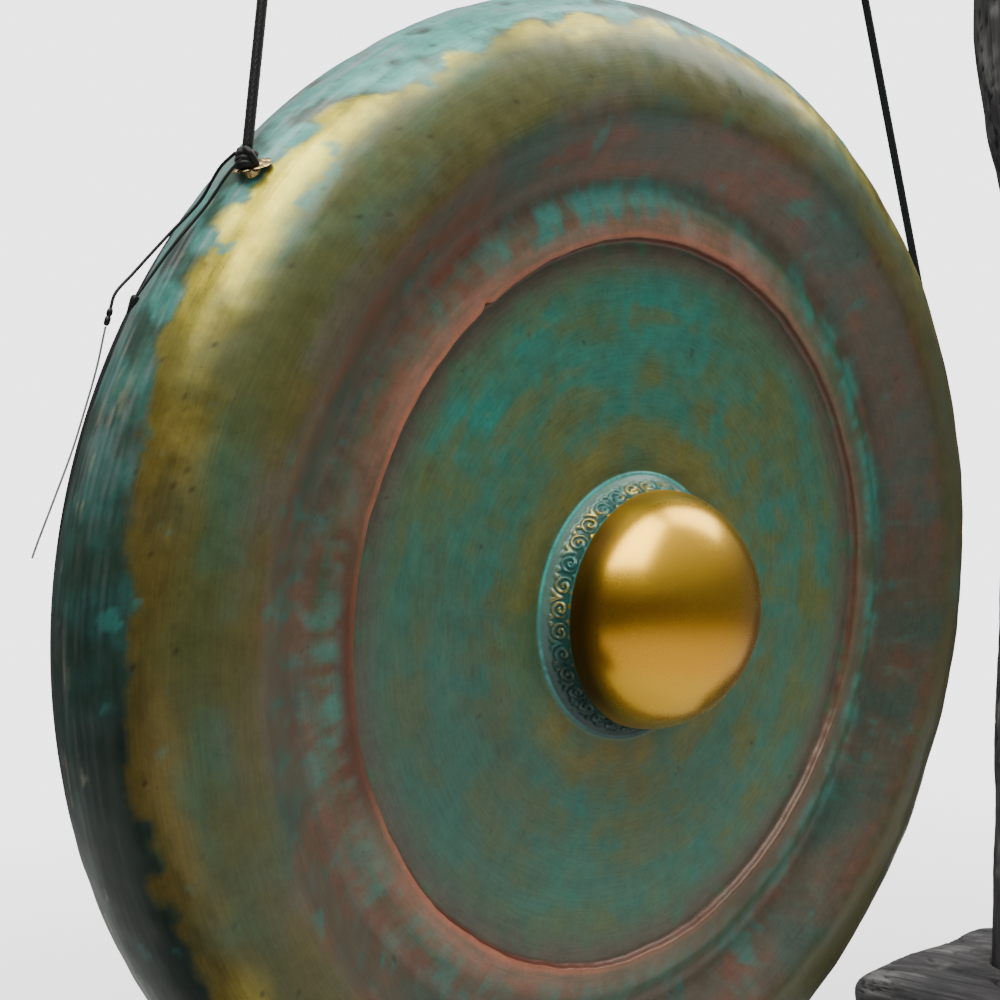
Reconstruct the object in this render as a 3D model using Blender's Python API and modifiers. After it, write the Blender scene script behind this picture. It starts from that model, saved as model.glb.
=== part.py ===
"""Bossed hanging gong on a natural wood stand.

Row frame: metres, +Z up, +X to the striker's right, the struck face looks along -Y.
The origin is on the ground, under the middle of the stand. The plane y = 0 is the
hanging plane: both cords, the crossbar and both pivot lines lie in it.

The gong is drawn in its own frame first (axis along Y, face towards -Y, ring ridge
crest in the plane y = 0), then hung from the two rim knots and turned until its
centre of mass is plumb under them.
"""

import math

import bmesh
import bpy
from mathutils import Matrix, Vector, noise

# ------------------------------------------------------------------ dimensions
GONG_RADIUS = 0.2000            # outside of the rim
RING_RADIUS = 0.1214            # crest of the raised ring
SHOULDER_RADIUS = 0.0364        # turn from the face into the rim
SHOULDER_DEPTH = 0.0245         # widest point of the rim, behind the ring crest
RIM_BACK_DEPTH = 0.0437         # back edge of the rim
RIM_BACK_RADIUS = 0.1939        # the rim closes in a little towards the back
DISC_DEPTH = 0.0022             # struck disc, behind the ring crest
RING_LIP = 0.0009               # the ring's inner lip stands proud of the crest plane
RING_OUTER = 0.1390             # foot of the ring's outer slope
RING_GROOVE_DEPTH = 0.0022
BOSS_BASE_RADIUS = 0.0442
BOSS_RADIUS = 0.0397
BOSS_HEIGHT = 0.0411            # dome apex above the struck disc
DOME_RISE = 0.0310              # the dome itself, a little flatter than a half ball
SHEET_AT_FACE = 0.0024          # forged sheet, thick in the middle
SHEET_AT_RIM = 0.0014           # and thin at the rim
SCREW_STEPS = 50

HOLE_ANGLE = math.radians(57.3)  # each side of the gong's own top
HOLE_DEPTH = 0.0152
HOLE_RADIUS = 0.0034
HANG_TURN = math.radians(9.5)    # the gong hangs turned clockwise in its own plane
RING_CENTRE_HEIGHT = 0.2250

EYELET_RADIUS = 0.0055
EYELET_THICK = 0.0007
BARREL_OUTER = 0.0030
BARREL_INNER = 0.0019
WASHER_RADIUS = 0.0052
WASHER_THICK = 0.0006
KNOT_RADIUS = 0.0034
STOPPER_RADIUS = 0.0042
CORD_RADIUS = 0.0016
GAP = 0.0003

BAR_PIVOT_HEIGHT = 0.5830        # line that the cords swing about
BAR_KNOT_RADIUS = 0.0036
LASHING_X = (-0.1113, 0.1110)    # where the two cords are tied to the crossbar
LASHING_THICK = 0.0034
LASHING_WIDTH = 0.0135
BAR_RADIUS = 0.0190
BAR_HALF_LENGTH = 0.3380
BAR_HEIGHT = BAR_PIVOT_HEIGHT + BAR_KNOT_RADIUS + GAP + LASHING_THICK + 0.0004 + BAR_RADIUS

POST_TOP = BAR_HEIGHT + 0.0060
FOOT_INNER_X = 0.1980
FOOT_OUTER_X = 0.3200
FOOT_HALF_LENGTH = 0.0700
FOOT_TOP = 0.0460
FOOT_BOTTOM = 0.0028
POST_X = 0.2690                  # post centre where it stands in the foot
POST_RADIUS = 0.0290
POST_TOP_X = 0.2850              # where the crossbar lies in it
SEAT_HEIGHT = 0.0400             # bottom of the shallow mortise in the foot
PAD_RADIUS = 0.0090
PAD_THICK = 0.0025
PEG_RADIUS = 0.0040
SCREW_RADIUS = 0.0024
SCREW_HEAD_RADIUS = 0.0050

STRING_RADIUS = 0.00045          # waxed hang-tag string
FILAMENT_RADIUS = 0.0003

# ------------------------------------------------------------------ clean start
for old in list(bpy.data.objects):
    bpy.data.objects.remove(old, do_unlink=True)
for old in list(bpy.data.collections):
    bpy.data.collections.remove(old)
PARTS = bpy.data.collections.new("bossed_gong_on_stand")
CUTTERS = bpy.data.collections.new("cutters")
bpy.context.scene.collection.children.link(PARTS)
bpy.context.scene.collection.children.link(CUTTERS)


# ------------------------------------------------------------------ helpers
def material(name, colour, roughness, metallic):
    m = bpy.data.materials.get(name)
    if m is None:
        m = bpy.data.materials.new(name)
        m.use_nodes = True
        b = m.node_tree.nodes["Principled BSDF"]
        b.inputs["Base Color"].default_value = (*colour, 1.0)
        b.inputs["Roughness"].default_value = roughness
        b.inputs["Metallic"].default_value = metallic
    return m


def add(name, mesh, mat, parent=None, location=(0, 0, 0), rotation=None, smooth=35):
    mesh.name = name
    o = bpy.data.objects.new(name, mesh)
    PARTS.objects.link(o)
    o.parent = parent
    o.location = location
    if rotation is not None:
        o.rotation_euler = rotation.to_euler()
    mesh.materials.append(mat)
    if smooth:
        mesh.shade_smooth()
        mesh.set_sharp_from_angle(angle=math.radians(smooth))
    return o


def mesh_of(bm, name="mesh"):
    bmesh.ops.recalc_face_normals(bm, faces=bm.faces)
    me = bpy.data.meshes.new(name)
    bm.to_mesh(me)
    bm.free()
    return me


def screwed(name, profile, mat, parent, location, rotation, steps):
    """The same as a Screw modifier on a profile that runs down its outer side."""
    me = bpy.data.meshes.new(name)
    n = len(profile)
    closed = profile[0][0] > 0.0
    me.from_pydata([(r, 0, z) for r, z in profile],
                   [(i, i + 1) for i in range(n - 1)] + ([(n - 1, 0)] if closed else []), [])
    o = bpy.data.objects.new(name, me)
    PARTS.objects.link(o)
    o.parent, o.location = parent, location
    o.rotation_euler = rotation.to_euler()
    s = o.modifiers.new("turn", "SCREW")
    s.axis, s.angle, s.screw_offset = "Z", 2 * math.pi, 0.0
    s.steps = s.render_steps = steps
    s.use_merge_vertices, s.merge_threshold = True, 0.00002
    s.use_smooth_shade = True
    me.materials.append(mat)
    return o


def cutter(mesh, parent=None, location=(0, 0, 0), rotation=None, name="cutter"):
    o = bpy.data.objects.new(name, mesh)
    CUTTERS.objects.link(o)
    o.parent = parent
    o.location = location
    if rotation is not None:
        o.rotation_euler = rotation.to_euler()
    o.hide_render = True
    o.display_type = "WIRE"
    return o


def cut(obj, tool):
    m = obj.modifiers.new("cut_" + tool.name, "BOOLEAN")
    m.operation, m.solver, m.object = "DIFFERENCE", "EXACT", tool
    return m


def join(obj, tool):
    m = obj.modifiers.new("join_" + tool.name, "BOOLEAN")
    m.operation, m.solver, m.object = "UNION", "EXACT", tool
    return m


def cylinder(radius, z0, z1, sides=24):
    bm = bmesh.new()
    bmesh.ops.create_cone(bm, cap_ends=True, segments=sides, radius1=radius, radius2=radius,
                          depth=z1 - z0)
    bmesh.ops.translate(bm, verts=bm.verts, vec=(0, 0, (z0 + z1) / 2))
    return mesh_of(bm)


def ball(radius, u=12, v=7):
    bm = bmesh.new()
    bmesh.ops.create_uvsphere(bm, u_segments=u, v_segments=v, radius=radius)
    return mesh_of(bm)


def tube(name, points, radius, mat, parent=None, resolution=2):
    """A cord or wire: a POLY curve with a round bevel and filled caps."""
    cu = bpy.data.curves.new(name, "CURVE")
    cu.dimensions = "3D"
    sp = cu.splines.new("POLY")
    sp.points.add(len(points) - 1)
    for q, p in zip(sp.points, points):
        q.co = (*p, 1.0)
    cu.bevel_depth, cu.bevel_resolution, cu.use_fill_caps = radius, resolution, True
    o = bpy.data.objects.new(name, cu)
    PARTS.objects.link(o)
    o.parent = parent
    cu.materials.append(mat)
    return o


def log_mesh(points, radii, resolution, bump, scale, seed, keep):
    """A length of natural branch: a tapered tube whose skin is made uneven.

    keep(co) is 0 where the wood is worked to its exact size and 1 where it is left natural.
    """
    cu = bpy.data.curves.new("log", "CURVE")
    cu.dimensions = "3D"
    sp = cu.splines.new("POLY")
    sp.points.add(len(points) - 1)
    for q, p, r in zip(sp.points, points, radii):
        q.co = (*p, 1.0)
        q.radius = r
    cu.bevel_depth, cu.bevel_resolution, cu.use_fill_caps = 1.0, resolution, True
    tmp = bpy.data.objects.new("log", cu)
    CUTTERS.objects.link(tmp)
    bpy.context.view_layer.update()
    me = bpy.data.meshes.new_from_object(tmp.evaluated_get(bpy.context.evaluated_depsgraph_get()))
    bpy.data.objects.remove(tmp, do_unlink=True)
    bpy.data.curves.remove(cu)
    bm = bmesh.new()
    bm.from_mesh(me)
    bmesh.ops.remove_doubles(bm, verts=bm.verts, dist=0.00001)
    bmesh.ops.recalc_face_normals(bm, faces=bm.faces)
    bm.normal_update()
    moves = []
    for v in bm.verts:
        n = noise.noise(Vector(v.co) * scale + Vector((seed, 0, 0)))
        moves.append(v.normal * (n * bump * keep(v.co)))
    for v, d in zip(bm.verts, moves):
        v.co += d
    me.clear_geometry()
    bm.to_mesh(me)
    bm.free()
    return me


def smooth_step(t):
    t = max(0.0, min(1.0, t))
    return t * t * (3 - 2 * t)


def through(stations, count):
    """Points spread evenly along smooth curves through (t, value, value, ...) stations."""
    out = []
    t0, t1 = stations[0][0], stations[-1][0]
    for i in range(count):
        t = t0 + (t1 - t0) * i / (count - 1)
        k = max(j for j in range(len(stations) - 1) if stations[j][0] <= t + 1e-9)
        p0 = stations[max(k - 1, 0)]
        p1, p2 = stations[k], stations[k + 1]
        p3 = stations[min(k + 2, len(stations) - 1)]
        h = p2[0] - p1[0]
        s = (t - p1[0]) / h
        row = [t]
        for c in range(1, len(p1)):
            m1 = (p2[c] - p0[c]) / (p2[0] - p0[0])
            m2 = (p3[c] - p1[c]) / (p3[0] - p1[0])
            row.append((2 * s**3 - 3 * s**2 + 1) * p1[c] + (s**3 - 2 * s**2 + s) * h * m1
                       + (3 * s**2 - 2 * s**3) * p2[c] + (s**3 - s**2) * h * m2)
        out.append(row)
    return out


# ------------------------------------------------------------------ materials
PATINA = material("verdigris_brass", (0.075, 0.165, 0.135), 0.42, 0.55)
BRASS = material("eyelet_brass", (0.72, 0.54, 0.24), 0.30, 1.0)
BLACK_CORD = material("black_braid", (0.012, 0.012, 0.013), 0.72, 0.0)
GREY_WOOD = material("weathered_grey_wood", (0.13, 0.125, 0.125), 0.78, 0.0)
PEG_WOOD = material("peg_wood", (0.20, 0.16, 0.12), 0.70, 0.0)
STEEL = material("zinc_steel", (0.60, 0.60, 0.60), 0.35, 1.0)
FELT = material("black_felt", (0.02, 0.02, 0.02), 0.95, 0.0)
TAG_STRING = material("waxed_string", (0.010, 0.010, 0.011), 0.55, 0.0)
NYLON = material("nylon", (0.45, 0.45, 0.47), 0.30, 0.0)


# ------------------------------------------------------------------ gong shell
def face_profile():
    """The struck side from the boss's apex out to the back edge of the rim: (radius, depth)."""
    pts = []
    apex = DISC_DEPTH - BOSS_HEIGHT
    equator = apex + DOME_RISE
    for i in range(6):
        a = math.radians(90 * i / 5)
        pts.append((BOSS_RADIUS * math.sin(a), equator - DOME_RISE * math.cos(a)))
    pts += [((BOSS_RADIUS + BOSS_BASE_RADIUS) / 2 - 0.0008, DISC_DEPTH - 0.0036),
            (BOSS_BASE_RADIUS, DISC_DEPTH)]
    pts += [(RING_RADIUS - 0.0018, DISC_DEPTH), (RING_RADIUS, -RING_LIP),
            (RING_RADIUS + 0.0075, -RING_LIP + 0.0002), (RING_OUTER, RING_GROOVE_DEPTH)]
    crest_r = GONG_RADIUS - SHOULDER_RADIUS
    crest_d = SHOULDER_DEPTH - SHOULDER_RADIUS
    for t in (0.33, 0.67):
        pts.append((RING_OUTER + (crest_r - RING_OUTER) * t,
                    RING_GROOVE_DEPTH + (crest_d - RING_GROOVE_DEPTH) * smooth_step(t)))
    for i in range(7):
        a = math.radians(90 * i / 6)
        pts.append((crest_r + SHOULDER_RADIUS * math.sin(a),
                    SHOULDER_DEPTH - SHOULDER_RADIUS * math.cos(a)))
    pts += [((GONG_RADIUS + RIM_BACK_RADIUS) / 2 + 0.001, (SHOULDER_DEPTH + RIM_BACK_DEPTH) / 2),
            (RIM_BACK_RADIUS, RIM_BACK_DEPTH)]
    return pts


def shell_profile():
    """The closed section of the sheet: the struck side out, then the hollow side back."""
    outer = face_profile()
    n = len(outer)
    inner = []
    for i, (r, d) in enumerate(outer):
        a, b = outer[max(i - 1, 0)], outer[min(i + 1, n - 1)]
        tr, td = b[0] - a[0], b[1] - a[1]
        size = math.hypot(tr, td)
        t = SHEET_AT_FACE + (SHEET_AT_RIM - SHEET_AT_FACE) * smooth_step((i - n + 9) / 8)
        inner.append((r - td / size * t, d + tr / size * t) if i else (0.0, d + t))
    return outer, inner


def volume_centroid(profile):
    """Depth of the centroid of the solid that a closed (radius, depth) section sweeps."""
    vol = mom = 0.0
    for (r0, d0), (r1, d1) in zip(profile, profile[1:] + profile[:1]):
        # integrals of r and r*d over the section, by its boundary
        vol += (d1 - d0) * (r0 * r0 + r0 * r1 + r1 * r1) / 6
        mom += (d1 - d0) * (d0 * (3 * r0 * r0 + 2 * r0 * r1 + r1 * r1)
                            + d1 * (r0 * r0 + 2 * r0 * r1 + 3 * r1 * r1)) / 24
    return mom / vol


OUTER, INNER = shell_profile()
SECTION = OUTER + INNER[::-1]
COM_DEPTH = volume_centroid(SECTION)

# the surface at the two rim holes, and the pivot line through the rim knots
NORMAL_TILT = math.asin((SHOULDER_DEPTH - HOLE_DEPTH) / SHOULDER_RADIUS)
HOLE_R = GONG_RADIUS - SHOULDER_RADIUS + SHOULDER_RADIUS * math.cos(NORMAL_TILT)
KNOT_LIFT = GAP + EYELET_THICK + GAP + KNOT_RADIUS


def rim_axes(side):
    """Outward normal at a rim hole in the gong's own frame, and the hole's point."""
    radial = Vector((side * math.sin(HOLE_ANGLE), 0, math.cos(HOLE_ANGLE)))
    normal = radial * math.cos(NORMAL_TILT) + Vector((0, -1, 0)) * math.sin(NORMAL_TILT)
    return normal, radial * HOLE_R + Vector((0, HOLE_DEPTH, 0))


def rim_rotation(side):
    normal, _ = rim_axes(side)
    return normal.to_track_quat("Z", "Y").to_matrix()


NORMAL_R, HOLE_POINT_R = rim_axes(1)
KNOT_R = HOLE_POINT_R + NORMAL_R * KNOT_LIFT
PIVOT_OWN = Vector((0, KNOT_R.y, KNOT_R.z))
# the face leans down until the centre of mass is plumb under the pivot line
HANG_LEAN = math.atan2(PIVOT_OWN.y - COM_DEPTH, PIVOT_OWN.z)
HANG = Matrix.Rotation(HANG_TURN, 3, "Y") @ Matrix.Rotation(HANG_LEAN, 3, "X")
centre = Vector((0, -(HANG @ PIVOT_OWN).y, RING_CENTRE_HEIGHT))

rock = bpy.data.objects.new("rim_pivot", None)
PARTS.objects.link(rock)
rock.location = centre + HANG @ PIVOT_OWN
rock.rotation_euler = HANG.to_euler()

FACE_FRONT = Matrix.Rotation(math.radians(90), 3, "X")   # local +Z becomes the struck side

gong = screwed("gong_shell", [(r, -d) for r, d in OUTER] + [(r, -d) for r, d in INNER[::-1]],
               PATINA, rock, -PIVOT_OWN, FACE_FRONT, SCREW_STEPS)

for side, word in ((-1, "left"), (1, "right")):
    normal, hole = rim_axes(side)
    turn = rim_rotation(side)
    at = hole - PIVOT_OWN
    cut(gong, cutter(cylinder(HOLE_RADIUS, -0.006, 0.006, 16), rock, at, turn, word + "_rim_hole"))

    # scalloped brass eyelet: a flange outside the rim and a barrel through the hole
    z0 = GAP
    barrel_end = -(SHEET_AT_FACE + 0.0009 + WASHER_THICK + 0.0002)
    eyelet = screwed(word + "_rim_eyelet",
                     [(BARREL_INNER, z0 + EYELET_THICK), (EYELET_RADIUS - 0.0006, z0 + EYELET_THICK),
                      (EYELET_RADIUS, z0 + EYELET_THICK * 0.5), (EYELET_RADIUS, z0), (BARREL_OUTER, z0),
                      (BARREL_OUTER, barrel_end), (BARREL_INNER, barrel_end)],
                     BRASS, rock, at, turn, 24)
    bm = bmesh.new()
    for k in range(8):
        a = 2 * math.pi * k / 8
        bmesh.ops.create_cone(bm, cap_ends=True, segments=8, radius1=0.0011, radius2=0.0011,
                              depth=0.004,
                              matrix=Matrix.Translation(((EYELET_RADIUS + 0.0004) * math.cos(a),
                                                         (EYELET_RADIUS + 0.0004) * math.sin(a), 0)))
    cut(eyelet, cutter(mesh_of(bm), rock, at, turn, word + "_scallops"))

    washer_top = -(SHEET_AT_FACE + 0.0009)
    screwed(word + "_eyelet_washer",
            [(BARREL_OUTER + GAP, washer_top), (WASHER_RADIUS, washer_top),
             (WASHER_RADIUS, washer_top - WASHER_THICK), (BARREL_OUTER + GAP, washer_top - WASHER_THICK)],
            BRASS, rock, at, turn, 24)

    # the cord's end: a neck through the eyelet and a stopper knot in the hollow
    stopper_z = barrel_end - GAP - STOPPER_RADIUS
    stopper = add(word + "_stopper_knot", ball(STOPPER_RADIUS), BLACK_CORD, rock,
                  at + turn @ Vector((0, 0, stopper_z)), turn)
    neck_top = GAP + EYELET_THICK - stopper_z - 0.0001
    join(stopper, cutter(cylinder(CORD_RADIUS, 0.0, neck_top, 12), rock,
                         at + turn @ Vector((0, 0, stopper_z)), turn, word + "_neck"))

# ------------------------------------------------------------------ hanging cords
swing = bpy.data.objects.new("bar_pivot", None)
PARTS.objects.link(swing)
swing.location = (0, 0, BAR_PIVOT_HEIGHT)
for side, word, bar_x in ((-1, "left", LASHING_X[0]), (1, "right", LASHING_X[1])):
    normal, hole = rim_axes(side)
    low = rock.location + HANG @ (hole + normal * KNOT_LIFT - PIVOT_OWN)
    high = Vector((bar_x, 0, BAR_PIVOT_HEIGHT))
    along = (high - low).normalized()
    add(word + "_rim_knot", ball(KNOT_RADIUS), BLACK_CORD, swing, low - swing.location)
    add(word + "_bar_knot", ball(BAR_KNOT_RADIUS), BLACK_CORD, swing, high - swing.location)
    a = low + along * (KNOT_RADIUS + GAP) - swing.location
    b = high - along * (BAR_KNOT_RADIUS + GAP) - swing.location
    tube(word + "_hanging_cord", [a.lerp(b, i / 6) for i in range(7)], CORD_RADIUS, BLACK_CORD, swing)

# ------------------------------------------------------------------ hang-tag string
# Two short ends left tied round the left cord's knot. They drop along the rim just outside it.


def rim_point(angle_deg, radius, depth):
    """A point beside the rim, by its angle from the gong's own top towards the left."""
    a = math.radians(angle_deg)
    return Vector((-radius * math.sin(a), depth, radius * math.cos(a))) - PIVOT_OWN


def rim_path(stations, count):
    return [rim_point(a, r, d) for a, r, d in through(stations, count)]


CLEAR = GONG_RADIUS + STRING_RADIUS + 0.0006
tube("tag_string_long",
     rim_path([(58.9, CLEAR + 0.0042, 0.0190), (61.5, CLEAR + 0.0010, 0.0235), (65.0, CLEAR + 0.0016, 0.0270),
               (69.0, CLEAR + 0.0040, 0.0290), (71.3, CLEAR + 0.0062, 0.0292), (72.3, CLEAR + 0.0058, 0.0290)], 22),
     STRING_RADIUS, TAG_STRING, rock)
tube("tag_string_short",
     rim_path([(59.2, CLEAR + 0.0030, 0.0150), (62.0, CLEAR + 0.0006, 0.0195), (66.0, CLEAR + 0.0006, 0.0235),
               (69.0, CLEAR + 0.0010, 0.0255), (70.6, CLEAR + 0.0016, 0.0262)], 18),
     STRING_RADIUS, TAG_STRING, rock)


def along_rim(name, mesh, mat, a0, a1, radius0, radius1, depth):
    """A small piece on a string, its Z axis running down the rim."""
    p, q = rim_point(a0, radius0, depth), rim_point(a1, radius1, depth)
    return add(name, mesh, mat, rock, p, (q - p).to_track_quat("Z", "Y").to_matrix(), smooth=40)


along_rim("tag_clip", cylinder(0.0010, 0.0004, 0.0054, 12), TAG_STRING, 72.35, 73.9,
          CLEAR + 0.0057, CLEAR + 0.0048, 0.0290)
bm = bmesh.new()
bmesh.ops.create_cone(bm, cap_ends=True, segments=12, radius1=0.0015, radius2=0.0003, depth=0.0058)
bmesh.ops.translate(bm, verts=bm.verts, vec=(0, 0, 0.0004 + 0.0029))
along_rim("tag_barb", mesh_of(bm), TAG_STRING, 70.65, 72.2, CLEAR + 0.0018, CLEAR + 0.0020, 0.0262)
tube("tag_filament",
     rim_path([(74.35, CLEAR + 0.0045, 0.0290), (77.0, CLEAR + 0.0026, 0.0292), (80.5, CLEAR + 0.0020, 0.0290),
               (84.0, CLEAR + 0.0030, 0.0280), (88.0, CLEAR + 0.0062, 0.0265), (92.0, CLEAR + 0.0105, 0.0250)], 20),
     FILAMENT_RADIUS, NYLON, rock)

# ------------------------------------------------------------------ crossbar
ALONG_X = Matrix.Rotation(math.radians(90), 3, "Y")


def worked(co):
    """0 at the lashings and over the posts, where the bar is dressed round, 1 between."""
    free = 1.0
    for x in LASHING_X:
        free = min(free, smooth_step((abs(co.x - x) - 0.013) / 0.030))
    return min(free, smooth_step((0.253 - abs(co.x)) / 0.030))


count = 31
bar_points = [(-BAR_HALF_LENGTH + 2 * BAR_HALF_LENGTH * i / (count - 1), 0.0, BAR_HEIGHT)
              for i in range(count)]
crossbar = add("crossbar", log_mesh(bar_points, [BAR_RADIUS] * count, 4, 0.0048, 26.0, 3.1, worked),
               GREY_WOOD, smooth=60)

for side, word, bar_x in ((-1, "left", LASHING_X[0]), (1, "right", LASHING_X[1])):
    r0 = BAR_RADIUS + 0.0004
    r1 = r0 + LASHING_THICK
    h = LASHING_WIDTH / 2
    screwed(word + "_bar_lashing",
            [(r0, h), (r1 - 0.0012, h), (r1, h - 0.0012), (r1, -h + 0.0012), (r1 - 0.0012, -h), (r0, -h)],
            BLACK_CORD, None, (bar_x, 0, BAR_HEIGHT), ALONG_X, 24)

# ------------------------------------------------------------------ posts
POST_LINE = {  # height, centre x, centre y, radius
    1: [(0.0403, POST_X, 0.000, 0.0290), (0.090, 0.2735, 0.001, 0.0280), (0.150, 0.2800, 0.002, 0.0270),
        (0.240, 0.2885, 0.001, 0.0262), (0.330, 0.2960, -0.001, 0.0262), (0.380, 0.2955, -0.001, 0.0272),
        (0.415, 0.2885, 0.000, 0.0292), (0.460, 0.2835, 0.001, 0.0286), (0.530, 0.2835, 0.000, 0.0274),
        (POST_TOP, POST_TOP_X, 0.000, 0.0270)],
    -1: [(0.0403, POST_X, 0.000, 0.0290), (0.100, 0.2740, -0.001, 0.0276), (0.180, 0.2850, -0.003, 0.0284),
         (0.260, 0.2940, -0.002, 0.0272), (0.340, 0.2940, 0.001, 0.0260), (0.420, 0.2880, 0.003, 0.0266),
         (0.480, 0.2850, 0.002, 0.0286), (0.540, 0.2845, 0.000, 0.0272), (POST_TOP, POST_TOP_X, 0.000, 0.0270)],
}
for side, word, seed in ((-1, "left", 7.3), (1, "right", 1.9)):
    line = through(POST_LINE[side], 18)
    pts = [(side * x, y, z) for z, x, y, r in line]

    def natural(co):
        return smooth_step((co.z - 0.058) / 0.03) * smooth_step((POST_TOP - 0.03 - co.z) / 0.05)

    post = add(word + "_post", log_mesh(pts, [r for z, x, y, r in line], 5, 0.0042, 30.0, seed, natural),
               GREY_WOOD, smooth=60)
    # level the foot of the post and the top of its fork
    level = bmesh.new()
    bmesh.ops.create_cube(level, size=0.2)
    bmesh.ops.translate(level, verts=level.verts, vec=(side * POST_X, 0, SEAT_HEIGHT + GAP + 0.0004 - 0.1))
    cut(post, cutter(mesh_of(level), name=word + "_post_level"))
    level = bmesh.new()
    bmesh.ops.create_cube(level, size=0.2)
    bmesh.ops.translate(level, verts=level.verts, vec=(side * POST_TOP_X, 0, POST_TOP - 0.0006 + 0.1))
    cut(post, cutter(mesh_of(level), name=word + "_post_top"))
    # saddle that the crossbar lies in, open at the top
    saddle = bmesh.new()
    bmesh.ops.create_cone(saddle, cap_ends=True, segments=28, radius1=BAR_RADIUS + GAP,
                          radius2=BAR_RADIUS + GAP, depth=0.12)
    cut(post, cutter(mesh_of(saddle), location=(side * POST_TOP_X, 0, BAR_HEIGHT), rotation=ALONG_X,
                     name=word + "_saddle"))
    cut(post, cutter(cylinder(PEG_RADIUS + GAP, 0.560, 0.640, 16), location=(side * POST_TOP_X, 0, 0),
                     name=word + "_post_peg_hole"))
    cut(post, cutter(cylinder(SCREW_RADIUS + GAP, 0.030, 0.0825, 16), location=(side * POST_X, 0, 0),
                     name=word + "_post_screw_hole"))
    cut(crossbar, cutter(cylinder(PEG_RADIUS + GAP, 0.570, 0.650, 16), location=(side * POST_TOP_X, 0, 0),
                         name=word + "_bar_peg_hole"))
    peg = add(word + "_bar_peg", cylinder(PEG_RADIUS, 0.5604, BAR_HEIGHT + BAR_RADIUS + 0.0006, 16),
              PEG_WOOD, location=(side * POST_TOP_X, 0, 0))

# ------------------------------------------------------------------ feet
for side, word, seed in ((-1, "left", 11.7), (1, "right", 5.2)):
    cx = side * (FOOT_INNER_X + FOOT_OUTER_X) / 2
    half = Vector(((FOOT_OUTER_X - FOOT_INNER_X) / 2, FOOT_HALF_LENGTH, (FOOT_TOP - FOOT_BOTTOM) / 2))
    bm = bmesh.new()
    bmesh.ops.create_cube(bm, size=2.0)
    bmesh.ops.subdivide_edges(bm, edges=bm.edges, cuts=5, use_grid_fill=True)
    for v in bm.verts:
        p = v.co.copy()
        norm = (abs(p.x) ** 7 + abs(p.y) ** 7 + abs(p.z) ** 7) ** (1 / 7)
        q = p.lerp(p / norm, 0.85)
        n = noise.noise(Vector((p.x * 1.3, p.y * 1.9, p.z * 0.9)) + Vector((seed, 0, 0)))
        q *= 1.0 + 0.055 * n
        q.z = max(q.z, -1.0) if p.z > -0.999 else -1.0
        v.co = Vector((q.x * half.x, q.y * half.y, q.z * half.z))
    lo = [min(v.co[i] for v in bm.verts) for i in range(3)]
    hi = [max(v.co[i] for v in bm.verts) for i in range(3)]
    for v in bm.verts:  # sawn to its overall size
        for i in range(3):
            v.co[i] = (v.co[i] - lo[i]) / (hi[i] - lo[i]) * 2 * half[i] - half[i]
    foot = add(word + "_foot", mesh_of(bm), GREY_WOOD,
               location=(cx, 0, (FOOT_TOP + FOOT_BOTTOM) / 2), smooth=50)
    cut(foot, cutter(cylinder(POST_RADIUS + 0.0012, SEAT_HEIGHT, 0.070, 32), location=(side * POST_X, 0, 0),
                     name=word + "_mortise"))
    cut(foot, cutter(cylinder(SCREW_RADIUS + GAP, 0.0, 0.060, 16), location=(side * POST_X, 0, 0),
                     name=word + "_foot_screw_hole"))
    cut(foot, cutter(cylinder(SCREW_HEAD_RADIUS + GAP, -0.010, 0.0120, 20), location=(side * POST_X, 0, 0),
                     name=word + "_counterbore"))
    screwed(word + "_foot_screw",
            [(0.0, 0.0820), (SCREW_RADIUS * 0.5, 0.0800), (SCREW_RADIUS, 0.0745), (SCREW_RADIUS, 0.0117),
             (SCREW_HEAD_RADIUS, 0.0117), (SCREW_HEAD_RADIUS, 0.0092), (SCREW_HEAD_RADIUS * 0.7, 0.0080),
             (0.0, 0.0080)],
            STEEL, None, (side * POST_X, 0, 0), Matrix.Identity(3), 16)
    for y, end in ((-0.052, "front"), (0.052, "back")):
        add(word + "_" + end + "_pad", cylinder(PAD_RADIUS, 0.0, PAD_THICK, 20), FELT,
            location=(cx, y, 0))
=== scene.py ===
"""Looks for the bossed hanging gong: a patinated face, a gilded boss, braided cords and a driftwood stand."""
import math

import bmesh
import bpy
import numpy as np
from mathutils import Matrix, Vector, noise


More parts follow.
